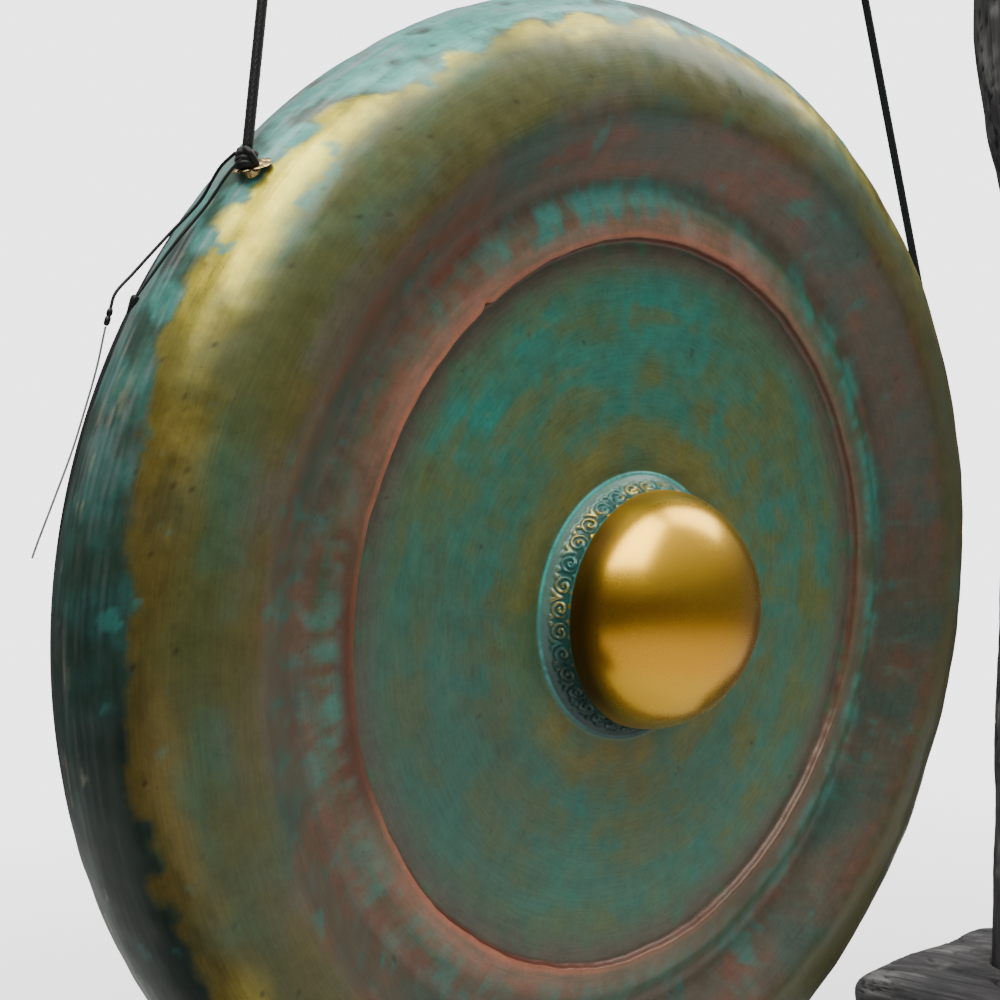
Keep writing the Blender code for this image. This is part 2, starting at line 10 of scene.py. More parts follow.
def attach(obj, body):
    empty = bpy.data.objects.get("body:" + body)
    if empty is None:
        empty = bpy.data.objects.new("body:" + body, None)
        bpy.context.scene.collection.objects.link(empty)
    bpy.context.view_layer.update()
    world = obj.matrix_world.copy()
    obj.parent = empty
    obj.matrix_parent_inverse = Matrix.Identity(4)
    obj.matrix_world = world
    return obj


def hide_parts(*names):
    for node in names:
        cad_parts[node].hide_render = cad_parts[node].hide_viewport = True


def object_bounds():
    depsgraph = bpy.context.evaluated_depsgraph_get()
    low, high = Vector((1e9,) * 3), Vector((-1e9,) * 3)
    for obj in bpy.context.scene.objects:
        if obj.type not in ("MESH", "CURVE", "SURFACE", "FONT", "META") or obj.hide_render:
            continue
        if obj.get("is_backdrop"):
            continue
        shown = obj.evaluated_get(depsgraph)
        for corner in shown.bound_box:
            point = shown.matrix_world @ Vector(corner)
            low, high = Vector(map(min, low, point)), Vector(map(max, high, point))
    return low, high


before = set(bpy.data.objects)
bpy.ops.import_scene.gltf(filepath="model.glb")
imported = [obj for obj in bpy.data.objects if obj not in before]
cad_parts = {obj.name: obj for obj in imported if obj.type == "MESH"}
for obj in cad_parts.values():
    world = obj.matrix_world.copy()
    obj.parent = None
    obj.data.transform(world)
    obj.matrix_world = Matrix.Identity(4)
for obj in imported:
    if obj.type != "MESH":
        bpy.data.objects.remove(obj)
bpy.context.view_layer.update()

# ------------------------------------------------------------------ the frame's own numbers (metres)
GONG_RADIUS, RING_RADIUS = 0.2000, 0.1214
SHOULDER_RADIUS, SHOULDER_DEPTH = 0.0364, 0.0245
RIM_BACK_DEPTH, RIM_BACK_RADIUS = 0.0437, 0.1939
DISC_DEPTH, RING_LIP, RING_OUTER, RING_GROOVE_DEPTH = 0.0022, 0.0009, 0.1390, 0.0022
BOSS_BASE_RADIUS, BOSS_RADIUS, BOSS_HEIGHT, DOME_RISE = 0.0442, 0.0397, 0.0411, 0.0310
SHEET_AT_FACE, SHEET_AT_RIM = 0.0024, 0.0014
HOLE_ANGLE, HOLE_DEPTH = math.radians(57.3), 0.0152
HANG_TURN, HANG_LEAN = math.radians(9.5), math.radians(5.83794)
CENTRE = Vector((0.0, -0.002753, 0.2250))
KNOT_LIFT = 0.0047
BAR_PIVOT_HEIGHT, LASHING_X = 0.5830, (-0.1113, 0.1110)
BAR_RADIUS, BAR_HALF_LENGTH, BAR_HEIGHT = 0.0190, 0.3380, 0.6097
POST_TOP, POST_X, POST_TOP_X = 0.6157, 0.2690, 0.2850
FOOT_INNER_X, FOOT_OUTER_X, FOOT_HALF_LENGTH = 0.1980, 0.3200, 0.0700
FOOT_TOP, FOOT_BOTTOM = 0.0460, 0.0028
CORD_RADIUS = 0.0016
STRING_RADIUS, FILAMENT_RADIUS = 0.00045, 0.0003

HANG = Matrix.Rotation(HANG_TURN, 3, "Y") @ Matrix.Rotation(HANG_LEAN, 3, "X")
OWN = Matrix.Translation(CENTRE) @ HANG.to_4x4()       # gong's own frame -> row frame
HANG_N = np.array(HANG)
CENTRE_N = np.array(CENTRE)

# ------------------------------------------------------------------ camera and light
EYE = CENTRE + HANG @ (Vector((-3.7697, -3.3786, 0.1479)) * RING_RADIUS)
FWD = (HANG @ Vector((0.68688, 0.72657, 0.01679))).normalized()
UP = HANG @ Vector((-0.11866, 0.08933, 0.98891))
RIGHT = FWD.cross(UP).normalized()
UP = RIGHT.cross(FWD).normalized()
cam = bpy.data.objects.new("camera", bpy.data.cameras.new("camera"))
bpy.context.scene.collection.objects.link(cam)
cam.data.sensor_width, cam.data.lens = 36.0, 66.06
cam.data.clip_start = 0.02
cam.matrix_world = Matrix((RIGHT, UP, -FWD)).transposed().to_4x4()
cam.matrix_world.translation = EYE
bpy.context.scene.camera = cam


def area(name, at, look, size, power, colour=(1, 1, 1), size_y=None):
    light = bpy.data.lights.new(name, "AREA")
    light.energy, light.color = power, colour
    light.size = size
    if size_y:
        light.shape, light.size_y = "RECTANGLE", size_y
    o = bpy.data.objects.new(name, light)
    bpy.context.scene.collection.objects.link(o)
    o.location = at
    o.rotation_euler = (Vector(look) - Vector(at)).to_track_quat("-Z", "Y").to_euler()
    return o


area("top_softbox", (-0.50, -0.25, 1.62), (0, 0, 0.25), 1.55, 37.0, (1.0, 0.975, 0.90))
area("right_softbox", (0.95, -0.12, 1.30), (0, 0, 0.25), 0.95, 12.0, (1.0, 0.99, 0.96))


class Nodes:
    """A short way to write a node tree."""

    def __init__(self, tree):
        self.t = tree

    def add(self, kind, out=0, **sockets):
        props = sockets.pop("props", {})
        n = self.t.nodes.new("ShaderNode" + kind)
        for k, v in props.items():
            setattr(n, k, v)
        for k, v in sockets.items():
            key = int(k[1:]) if k[0] == "i" and k[1:].isdigit() else k.replace("_", " ")
            s = n.inputs[key]
            if isinstance(v, bpy.types.NodeSocket):
                self.t.links.new(v, s)
            else:
                s.default_value = v
        return n.outputs[out]

    def math(self, op, a, b=0.0, c=0.0, clamp=False):
        return self.add("Math", i0=a, i1=b, i2=c, props={"operation": op, "use_clamp": clamp})

    def ramp(self, value, stops, interpolation="LINEAR"):
        n = self.t.nodes.new("ShaderNodeValToRGB")
        r = n.color_ramp
        r.interpolation = interpolation
        while len(r.elements) < len(stops):
            r.elements.new(0.5)
        for e, (p, c) in zip(r.elements, stops):
            e.position = p
            e.color = (*c, 1.0) if hasattr(c, "__len__") else (c, c, c, 1.0)
        self.t.links.new(value, n.inputs[0])
        return n.outputs[0]

    def mix(self, f, a, b, blend="MIX"):
        n = self.t.nodes.new("ShaderNodeMix")
        n.data_type, n.blend_type = "RGBA", blend
        n.clamp_factor = True
        for key, v in ((0, f), (6, a), (7, b)):
            if isinstance(v, bpy.types.NodeSocket):
                self.t.links.new(v, n.inputs[key])
            else:
                n.inputs[key].default_value = v if key == 0 else (*v[:3], 1.0)
        return n.outputs[2]

    def scale(self, vec, s):
        return self.add("Mapping", Vector=vec, Scale=s)

    def noise(self, vec, scale, detail=4.0, rough=0.55, distortion=0.0):
        return self.add("TexNoise", Vector=vec, Scale=scale, Detail=detail, Roughness=rough, Distortion=distortion)

    def bump(self, height, distance, strength=1.0, normal=None):
        kw = {"Height": height, "Distance": distance, "Strength": strength}
        if normal is not None:
            kw["Normal"] = normal
        return self.add("Bump", **kw)


def material(name):
    m = bpy.data.materials.new(name)
    m.use_nodes = True
    return m, Nodes(m.node_tree), m.node_tree.nodes["Principled BSDF"], m.node_tree.links


world = bpy.data.worlds.new("studio")
bpy.context.scene.world = world
world.use_nodes = True
wt = world.node_tree
wn = Nodes(wt)
for n in list(wt.nodes):
    wt.nodes.remove(n)
direction = wn.add("TexCoord", out=0)
sep = wt.nodes.new("ShaderNodeSeparateXYZ")
wt.links.new(direction, sep.inputs[0])
height = sep.outputs[2]
room = wn.ramp(wn.math("MULTIPLY_ADD", height, 0.5, 0.5),
               [(0.0, 0.26), (0.36, 0.22), (0.46, 0.13), (0.56, 0.15), (0.66, 0.36), (0.82, 0.72), (1.0, 0.92)])
side = wn.add("VectorMath", out=1, i0=direction, i1=(0.90, -0.42, 0.0), props={"operation": "DOT_PRODUCT"})
room = wn.mix(1.0, room, wn.ramp(wn.math("MULTIPLY_ADD", side, 0.5, 0.5), [(0.0, 0.45), (0.5, 0.85), (1.0, 1.25)]), "MULTIPLY")
lit = wn.add("Background", Color=room, Strength=0.76)
plain = wn.add("Background", Color=(0.86, 0.860, 0.884, 1.0), Strength=3.9)
ray = wt.nodes.new("ShaderNodeLightPath").outputs[0]
both = wt.nodes.new("ShaderNodeMixShader")
wt.links.new(ray, both.inputs[0])
wt.links.new(lit, both.inputs[1])
wt.links.new(plain, both.inputs[2])
out = wt.nodes.new("ShaderNodeOutputWorld")
wt.links.new(both.outputs[0], out.inputs[0])


# ------------------------------------------------------------------ small helpers
def smooth(t):
    t = np.clip(t, 0.0, 1.0)
    return t * t * (3 - 2 * t)


def band(x, a, b, c, d):
    """0 below a, 1 from b to c, 0 above d."""
    return smooth((x - a) / (b - a)) * (1 - smooth((x - c) / (d - c)))


def lattice(seed):
    rng = np.random.default_rng(seed)
    perm = rng.permutation(256)
    g = rng.normal(size=(256, 3))
    return np.concatenate([perm, perm]), g / np.linalg.norm(g, axis=1)[:, None]


_LATTICE = {}


def grain(p, seed=0):
    """Smooth gradient noise of points p (n, 3), about -0.7 to 0.7."""
    if seed not in _LATTICE:
        _LATTICE[seed] = lattice(seed)
    perm, grad = _LATTICE[seed]
    p = np.asarray(p, float)
    i = np.floor(p).astype(int)
    f = p - i
    w = f * f * f * (f * (f * 6 - 15) + 10)
    total = np.zeros(len(p))
    for dx in (0, 1):
        for dy in (0, 1):
            for dz in (0, 1):
                h = perm[(perm[(perm[(i[:, 0] + dx) & 255] + i[:, 1] + dy) & 255] + i[:, 2] + dz) & 255]
                d = f - np.array([dx, dy, dz])
                k = ((w[:, 0] if dx else 1 - w[:, 0]) * (w[:, 1] if dy else 1 - w[:, 1])
                     * (w[:, 2] if dz else 1 - w[:, 2]))
                total += k * (grad[h] * d).sum(1)
    return total


def cloud(p, octaves=4, seed=0, gain=0.5):
    total, amp = 0.0, 1.0
    p = np.asarray(p, float)
    for o in range(octaves):
        total = total + amp * grain(p, seed + o)
        p, amp = p * 2.03 + 17.1, amp * gain
    return total


def through(stations, count):
    """Points spread evenly along smooth curves through (t, value, value, ...) stations."""
    rows = []
    t0, t1 = stations[0][0], stations[-1][0]
    for i in range(count):
        t = t0 + (t1 - t0) * i / (count - 1)
        k = max(j for j in range(len(stations) - 1) if stations[j][0] <= t + 1e-9)
        p0 = stations[max(k - 1, 0)]
        p1, p2 = stations[k], stations[k + 1]
        p3 = stations[min(k + 2, len(stations) - 1)]
        h = p2[0] - p1[0]
        s = (t - p1[0]) / h
        row = [t]
        for c in range(1, len(p1)):
            m1 = (p2[c] - p0[c]) / (p2[0] - p0[0])
            m2 = (p3[c] - p1[c]) / (p3[0] - p1[0])
            row.append((2 * s**3 - 3 * s**2 + 1) * p1[c] + (s**3 - 2 * s**2 + s) * h * m1
                       + (3 * s**2 - 2 * s**3) * p2[c] + (s**3 - s**2) * h * m2)
        rows.append(row)
    return rows


def mesh_object(name, verts, faces, mat=None, sharp=None):
    me = bpy.data.meshes.new(name)
    me.from_pydata([tuple(map(float, v)) for v in verts], [], faces)
    me.update()
    o = bpy.data.objects.new(name, me)
    bpy.context.scene.collection.objects.link(o)
    if mat is not None:
        me.materials.append(mat)
    me.shade_smooth()
    if sharp:
        me.set_sharp_from_angle(angle=math.radians(sharp))
    return o


def grid_faces(rows, cols, close_rows=False, start=0):
    """Quads of a grid whose columns wrap round."""
    out = []
    for i in range(rows if close_rows else rows - 1):
        a, b = start + i * cols, start + ((i + 1) % rows) * cols
        for j in range(cols):
            k = (j + 1) % cols
            out.append((a + j, a + k, b + k, b + j))
    return out


def outward(o):
    bm = bmesh.new()
    bm.from_mesh(o.data)
    bmesh.ops.recalc_face_normals(bm, faces=bm.faces)
    bm.to_mesh(o.data)
    bm.free()
    return o


def boolean(o, verts, faces, operation="DIFFERENCE"):
    """Applies a Boolean with a throwaway closed cutter."""
    c = mesh_object("cutter", verts, faces)
    outward(c)
    m = o.modifiers.new("cut", "BOOLEAN")
    m.operation, m.solver, m.object = operation, "EXACT", c
    bpy.context.view_layer.update()
    made = bpy.data.meshes.new_from_object(o.evaluated_get(bpy.context.evaluated_depsgraph_get()))
    o.modifiers.clear()
    old = o.data
    o.data = made
    bpy.data.meshes.remove(old)
    me = c.data
    bpy.data.objects.remove(c, do_unlink=True)
    bpy.data.meshes.remove(me)
    return o


def cylinder_at(p, axis, radius, a, b, sides=32):
    """Closed cylinder about the line through p along axis, from a to b along it."""
    turn = Vector(axis).normalized().to_track_quat("Z", "Y").to_matrix()
    verts = []
    for z in (a, b):
        for j in range(sides):
            t = 2 * math.pi * j / sides
            verts.append(tuple(Vector(p) + turn @ Vector((radius * math.cos(t), radius * math.sin(t), z))))
    faces = [tuple(range(sides))[::-1], tuple(range(sides, 2 * sides))]
    faces += [(j, (j + 1) % sides, sides + (j + 1) % sides, sides + j) for j in range(sides)]
    return verts, faces


def frames_along(points):
    """Points with a steadily carried pair of cross axes."""
    pts = [Vector(p) for p in points]
    rows = []
    u = None
    for i, p in enumerate(pts):
        t = (pts[min(i + 1, len(pts) - 1)] - pts[max(i - 1, 0)]).normalized()
        if u is None:
            u = t.orthogonal().normalized()
        u = (u - t * u.dot(t)).normalized()
        rows.append((p, t, u, t.cross(u)))
    return rows


def resample(points, step):
    pts = [Vector(p) for p in points]
    lengths = [0.0]
    for a, b in zip(pts, pts[1:]):
        lengths.append(lengths[-1] + (b - a).length)
    n = max(2, int(round(lengths[-1] / step)) + 1)
    out, k = [], 0
    for i in range(n):
        d = lengths[-1] * i / (n - 1)
        while k < len(pts) - 2 and lengths[k + 1] < d:
            k += 1
        s = (d - lengths[k]) / max(lengths[k + 1] - lengths[k], 1e-12)
        out.append(pts[k].lerp(pts[k + 1], min(max(s, 0), 1)))
    return out, lengths[-1]


def braid(points, radius, step=0.00045, sides=28, ends=(1, 1)):
    """Verts and faces of a round braid of that outer radius along points, with rounded ends."""
    pts, length = resample(points, step)
    rows = frames_along(pts)
    n = len(rows)
    verts = []
    carriers = 4
    pitch = 0.0034
    for i, (p, t, u, v) in enumerate(rows):
        s = length * i / (n - 1)
        taper = 1.0
        if ends[0] and s < radius:
            taper = min(taper, math.sqrt(max(0.02, 1 - (1 - s / radius) ** 2)))
        if ends[1] and length - s < radius:
            taper = min(taper, math.sqrt(max(0.02, 1 - (1 - (length - s) / radius) ** 2)))
        for j in range(sides):
            a = 2 * math.pi * j / sides
            w = 2 * math.pi * s / pitch
            c1 = math.sin(carriers * a + w)
            c2 = math.sin(carriers * a - w)
            over = c1 * c2 > 0
            h = abs(c1) * (1.0 if over else 0.55) + abs(c2) * (0.55 if over else 1.0)
            rr = radius * taper * (0.79 + 0.21 * min(1.0, h * 0.72))
            verts.append(p + (u * math.cos(a) + v * math.sin(a)) * rr)
    faces = grid_faces(n, sides)
    verts.append(rows[0][0])
    verts.append(rows[-1][0])
    a, b = len(verts) - 2, len(verts) - 1
    faces += [(a, (j + 1) % sides, j) for j in range(sides)]
    last = (n - 1) * sides
    faces += [(b, last + j, last + (j + 1) % sides) for j in range(sides)]
    return verts, faces


def merge(parts):
    verts, faces = [], []
    for v, f in parts:
        k = len(verts)
        verts += list(v)
        faces += [tuple(k + i for i in x) for x in f]
    return verts, faces


# ------------------------------------------------------------------ the gong's section, with a running zone number
# zone u: 0 apex, 1 dome's edge, 2 base of the neck, 3 ring lip, 4 groove, 5 shoulder crest, 6 widest, 7 back edge
CREST_R, CREST_D = GONG_RADIUS - SHOULDER_RADIUS, SHOULDER_DEPTH - SHOULDER_RADIUS


def section():
    pts = []
    apex = DISC_DEPTH - BOSS_HEIGHT
    equator = apex + DOME_RISE
    for i in range(44):
        a = math.radians(90 * i / 43)
        pts.append((BOSS_RADIUS * math.sin(a), equator - DOME_RISE * math.cos(a), i / 43))
    # a fine undercut line, then the engraved neck flaring to its base bead
    pts += [(0.03972, equator + 0.0005, 1.01), (0.03960, equator + 0.0009, 1.03), (0.03940, equator + 0.0012, 1.05)]
    for i in range(27):
        t = i / 26
        pts.append((0.03948 + 0.0042 * t**2.1, equator + 0.0014 + (DISC_DEPTH - 0.0008 - equator - 0.0014) * t,
                    1.10 + 0.80 * t))
    pts += [(0.04405, DISC_DEPTH - 0.00062, 1.94), (0.04440, DISC_DEPTH - 0.00058, 1.97), (0.04475, DISC_DEPTH - 0.00040, 1.99),
            (0.04505, DISC_DEPTH - 0.00012, 2.00), (0.04545, DISC_DEPTH - 0.00002, 2.01)]
    r0, r1 = 0.0462, 0.1192
    for i in range(56):
        t = i / 55
        pts.append((r0 + (r1 - r0) * t, DISC_DEPTH, 2.015 + 0.955 * t))
    pts += [(0.1199, 0.0021, 2.975), (0.12045, 0.0017, 2.98), (0.12085, 0.0010, 2.985), (0.12110, 0.0002, 2.99),
            (0.12128, -0.00045, 2.995), (0.12160, -0.00085, 3.0), (0.1221, -0.00100, 3.03)]
    for i in range(1, 9):
        t = i / 8
        pts.append((0.1221 + (0.1295 - 0.1221) * t, -0.00100 + 0.00050 * t * t, 3.03 + 0.42 * t))
    for i in range(1, 9):
        t = i / 8
        pts.append((0.1295 + (RING_OUTER - 0.1295) * t,
                    -0.0005 + (RING_GROOVE_DEPTH + 0.0005) * float(smooth(np.array(t))), 3.45 + 0.55 * t))
    for i in range(1, 19):
        t = i / 18
        pts.append((RING_OUTER + (CREST_R - RING_OUTER) * t,
                    RING_GROOVE_DEPTH + (CREST_D - RING_GROOVE_DEPTH) * float(smooth(np.array(t))), 4 + t))
    for i in range(1, 47):
        a = math.radians(90 * i / 46)
        pts.append((CREST_R + SHOULDER_RADIUS * math.sin(a), SHOULDER_DEPTH - SHOULDER_RADIUS * math.cos(a), 5 + i / 46))
    for i in range(1, 15):
        t = i / 14
        bow = 0.001 * 4 * t * (1 - t)
        pts.append((GONG_RADIUS + (RIM_BACK_RADIUS - GONG_RADIUS) * t + bow,
                    SHOULDER_DEPTH + (RIM_BACK_DEPTH - SHOULDER_DEPTH) * t, 6 + t))
    return np.array(pts)


SEC = section()


def normals_of(sec):
    t = np.gradient(sec[:, :2], axis=0)
    t /= np.linalg.norm(t, axis=1)[:, None]
    return np.stack([t[:, 1], -t[:, 0]], 1)      # out of the struck side: (radial, depth)


COLS = 760
theta = np.arange(COLS) * 2 * math.pi / COLS
cosT, sinT = np.cos(theta), np.sin(theta)


def turned(sec):
    """(rows, cols, 3) points of a turned section in the gong's own frame."""
    r, d = sec[:, 0][:, None], sec[:, 1][:, None]
    return np.stack([r * cosT, np.repeat(d, COLS, 1), r * sinT], -1)


def angle_table(th, stations):
    """A smooth value round the gong from (degrees, value) stations, wrapping."""
    x = np.degrees(th) % 360
    s = sorted(stations)
    xs = [s[-1][0] - 360] + [a for a, _ in s] + [s[0][0] + 360]
    ys = [s[-1][1]] + [b for _, b in s] + [s[0][1]]
    k = np.clip(np.searchsorted(xs, x, side="right") - 1, 0, len(xs) - 2)
    xs, ys = np.array(xs, float), np.array(ys, float)
    f = smooth((x - xs[k]) / (xs[k + 1] - xs[k]))
    return ys[k] * (1 - f) + ys[k + 1] * f


P = turned(SEC)
N2 = normals_of(SEC)
NORM = np.stack([N2[:, 0][:, None] * cosT, np.repeat(N2[:, 1][:, None], COLS, 1), N2[:, 0][:, None] * sinT], -1)
U = np.repeat(SEC[:, 2][:, None], COLS, 1)
TH = np.repeat(theta[None, :], len(SEC), 0)
flat = P.reshape(-1, 3)
u, th = U.ravel(), TH.ravel()
deg = np.degrees(th)
rad = np.hypot(flat[:, 0], flat[:, 2])

# the ring's inner lip isn't quite round: it wanders a little and has small nicks and one notch
wander = cloud(np.stack([np.cos(th) * 2.6, np.sin(th) * 2.6, 0 * th], 1), 3, 11) * 0.0011
nick = cloud(np.stack([np.cos(th) * 16, np.sin(th) * 16, 0 * th + 4], 1), 2, 21) * 0.00045
notch = np.exp(-((deg - 136.0) / 0.75) ** 2) * 0.0016
shift = (wander + nick + notch) * band(u, 2.93, 2.985, 3.03, 3.3)
radial = np.stack([np.cos(th), 0 * th, np.sin(th)], 1)
# hammer work: a soft unevenness everywhere, planishing on shoulder and wall, fine facets on the dome
low = cloud(flat * 17.0, 2, 31) * 0.0009 * band(u, 2.05, 2.4, 6.5, 7.0)
plan = cloud(flat * 62.0, 2, 41) * 0.00042 * band(u, 4.6, 5.2, 6.6, 7.0)
fine = cloud(flat * 150.0, 2, 51) * 0.00010 * band(u, 4.2, 5.0, 6.8, 7.0)
disc = cloud(flat * 30.0, 3, 61) * 0.00022 * band(u, 2.02, 2.2, 2.85, 2.96)
dome = (cloud(flat * 70.0, 1, 71) * 0.00010 + cloud(flat * 34.0, 1, 75) * 0.00034) * (1 - smooth((u - 0.9) / 0.1))
# pits on the upper left shoulder and a few dents elsewhere
pit = cloud(flat * 420.0, 2, 81)
pit = -smooth((pit - 0.42) / 0.25) * 0.00030 * band(u, 4.9, 5.2, 5.8, 6.0) * angle_table(th, [(90, .5), (130, 1), (165, .7), (200, .35), (300, .3)])
# engraved scrollwork on the neck: leaning S curls in shallow relief
CELLS = 34
cell = th * CELLS / (2 * math.pi)
number = np.floor(cell)
t_neck = np.clip((u - 1.10) / 0.80, 0, 1)
cx_, cy_ = (cell - number - 0.5) * 7.4, (t_neck - 0.40) * 8.4      # millimetres across and along a cell
hand = np.where(number % 2 == 0, 1.0, -1.0)
rr_ = np.hypot(cx_, cy_)
turn_ = np.arctan2(cy_, cx_ * hand)
spiral = np.cos(turn_ - 2 * math.pi * rr_ / 1.9)
spiral = smooth((spiral + 0.05) / 0.45) * (1 - smooth((rr_ - 2.6) / 0.5))
leaf = np.cos(cx_ * hand * 1.25 + cy_ * 0.8 + 0.9) * smooth((rr_ - 2.9) / 0.4)
curl = np.maximum(spiral, smooth((leaf - 0.35) / 0.35)) * (1 - smooth((t_neck - 0.74) / 0.12))
relief = (curl - 0.3) * 0.00060 * band(u, 1.10, 1.16, 1.74, 1.86)
shell_noise = low + plan + fine + disc + dome + pit + relief
outer = flat + NORM.reshape(-1, 3) * shell_noise[:, None] + radial * shift[:, None]

# hollow side: the sheet's thickness behind the same shape, smoother and with fewer rows
thick = SHEET_AT_FACE + (SHEET_AT_RIM - SHEET_AT_FACE) * smooth((U - 4.6) / 1.6)
keep = [i for i in range(len(SEC)) if i % 3 == 0 or i == len(SEC) - 1]
inner = P - NORM * thick[..., None]
back_noise = (cloud(flat * 17.0, 2, 31) * 0.0009 * band(u, 2.05, 2.4, 6.5, 7.0) + cloud(flat * 70.0, 2, 91) * 0.00030
              * band(u, 2.02, 2.2, 6.7, 7.0)).reshape(U.shape)
inner = inner + NORM * back_noise[..., None]
inner = inner[keep]
inner_u = 14.0 - SEC[keep, 2]
# rounded back edge between the two sides
edge_o, edge_i = P[-1], inner[-1]
edge_rows, edge_u = [], []
for t in (0.2, 0.5, 0.8):
    mid = edge_o * (1 - t) + edge_i * t
    mid = mid + np.array([0, 1, 0]) * 0.0007 * math.sin(math.pi * t)
    edge_rows.append(mid)
    edge_u.append(7.0 + 0.02 * t)
rows = [outer.reshape(P.shape)] + [np.stack(edge_rows)] + [inner[::-1]]
allp = np.concatenate(rows, 0)
allu = np.concatenate([SEC[:, 2], edge_u, inner_u[::-1]])
nrows = len(allp)
# the apex rows are single points
verts = allp.reshape(-1, 3)
faces = grid_faces(nrows, COLS)
shell = mesh_object("gong_face_and_rim", verts @ HANG_N.T + CENTRE_N, faces)
uu = np.repeat(allu[:, None], COLS, 1).ravel()
tt = np.repeat(theta[None, :], nrows, 0).ravel()
cl = np.concatenate([curl, np.zeros((nrows - len(SEC)) * COLS)])


def colour(*c):
    """sRGB 0-255 to scene-linear."""
    c = np.array(c, float) / 255
    return np.where(c <= 0.04045, c / 12.92, ((c + 0.055) / 1.055) ** 2.4)


def lay(base, over, amount):
    return base * (1 - amount[:, None]) + np.asarray(over) * amount[:, None]


def paint():
    """Colour, metal, roughness of every point of the shell from its zone, its angle and layered noise."""
    polar = np.stack([np.cos(tt), np.sin(tt), 0 * tt], 1)
    face_pts = verts
    # rub: broad circular sweeps, long round the gong and short across it
    sweep = cloud(polar * [5, 5, 1] + np.stack([0 * tt, 0 * tt, uu * 3.2], 1), 4, 101)
    sweep2 = cloud(polar * [9, 9, 1] + np.stack([0 * tt, 0 * tt, uu * 7.5 + 9], 1), 4, 111)
    blot = cloud(face_pts * 26.0, 4, 121)
    blot2 = cloud(face_pts * 55.0 + 5, 4, 131)
    drip = cloud(polar * [26, 26, 1] + np.stack([0 * tt, 0 * tt, uu * 1.7 + 3], 1), 3, 141)
    ragged = cloud(face_pts * 75.0 + 9, 4, 151)

    teal = colour(52, 128, 114)
    deep = colour(68, 104, 92)
    olive = colour(108, 114, 54)
    brown = colour(108, 94, 80)
    maroon = colour(136, 86, 68)
    salmon = colour(186, 128, 108)
    lip_shadow_red = colour(124, 50, 34)
    turq = colour(58, 164, 150)
    gold = colour(206, 190, 62)
    # pale gold used as a painted highlight on the gilding
    gilt_highlight = colour(238, 230, 112)

    c = np.repeat(colour(78, 116, 88)[None], len(uu), 0)
    metal = np.full(len(uu), 0.16)
    rough = np.full(len(uu), 0.40)

    # ---- struck disc
    c = lay(c, olive, 0.85 * smooth((sweep + 0.26) / 0.70) * band(uu, 1.9, 2.0, 2.75, 2.95)
            * angle_table(tt, [(0, 1), (60, .8), (110, .6), (150, .5), (185, .4), (230, .6), (270, .9), (330, 1)]))
    c = lay(c, teal, 0.82 * smooth((0.7 * blot + 0.8 * sweep2 + 0.16) / 0.72) * band(uu, 2.08, 2.25, 2.84, 2.96))
    near = band(uu, 1.99, 2.03, 2.12, 2.26) * angle_table(tt, [(0, .4), (60, .6), (120, .75), (180, .55), (215, .2), (258, 1.0), (280, .8), (330, .4)])
    c = lay(c, colour(136, 120, 44), 0.80 * near * smooth((blot2 + 0.5) / 0.8))
    patch = angle_table(tt, [(20, .1), (75, .5), (110, .9), (150, 1.0), (190, .9), (225, .35), (260, .15), (330, .5)])
    c = lay(c, colour(40, 144, 130), 0.68 * patch * smooth((blot + 0.30) / 0.60) * band(uu, 2.4, 2.55, 2.74, 2.88))
    strokes = cloud(polar * [2.3, 2.3, 1] + np.stack([0.5 * sweep, 0.3 * sweep2, uu * 6.4], 1), 3, 103)
    c = lay(c, colour(52, 126, 112), 0.50 * smooth((strokes - 0.02) / 0.30) * band(uu, 2.08, 2.2, 2.84, 2.93))
    c = lay(c, colour(110, 112, 60), 0.55 * smooth((-strokes - 0.02) / 0.30) * band(uu, 2.02, 2.12, 2.76, 2.9))
    c = lay(c, colour(104, 92, 80), 0.85 * band(uu, 2.80, 2.95, 3.0, 3.05) * smooth((sweep2 + 0.55) / 0.5))
    # painted light and shade: the disc is lightened most over its upper half, and a dull grey-green is laid over its
    # lower left as painted shade
    c = c * (1 + 0.20 * band(uu, 2.02, 2.1, 2.9, 2.99) * angle_table(tt, [(0, .6), (60, 1), (150, 1), (185, .8), (220, .25), (270, .2), (320, .4)]))[:, None]
    c = lay(c, colour(72, 98, 88), 0.5 * band(uu, 2.1, 2.3, 2.9, 3.0) * angle_table(tt, [(150, 0), (200, .9), (230, .9), (270, .2)]))

    # ---- ring ridge: salmon paint, with painted shade over its left, a painted highlight over its top and along the lip, and a painted shadow line at the lip's foot
    # salmon paint along the ridge; its strength by angle also drops where the painted shade lies
    warm = angle_table(tt, [(0, .10), (45, .16), (62, .40), (80, .80), (100, .85), (122, .70), (140, 1.0), (155, 1.0), (168, .7), (182, .25), (205, .1), (218, .55),
                            (228, .9), (250, .9), (285, .38), (310, .14), (350, .10)])
    # where painted shade darkens the ridge: most over the left, less over the lower right
    dark = angle_table(tt, [(155, 0), (172, .55), (186, 1), (208, 1), (220, .3), (235, 0), (285, .2), (312, .6), (350, .45), (35, .2), (60, 0)])
    ridge = band(uu, 2.985, 3.02, 3.30, 3.80)
    c = lay(c, salmon, 0.92 * ridge * warm * (0.66 + 0.34 * smooth((sweep2 + 0.3) / 0.6)))
    # painted highlight: pale pinkish grey over the top of the ridge
    c = lay(c, colour(196, 158, 146), 0.5 * ridge * angle_table(tt, [(60, .2), (85, 1), (110, .7), (130, .1), (200, 0), (300, .2)]) * smooth((blot2 + 0.3) / 0.6))
    # painted shade: dark red-brown laid over the shaded sides of the ridge
    c = lay(c, colour(104, 54, 38), 0.88 * ridge * dark)
    # painted highlight: a bright salmon line along the lip
    c = lay(c, colour(226, 134, 100), band(uu, 2.988, 2.998, 3.05, 3.14) * warm * 0.6)
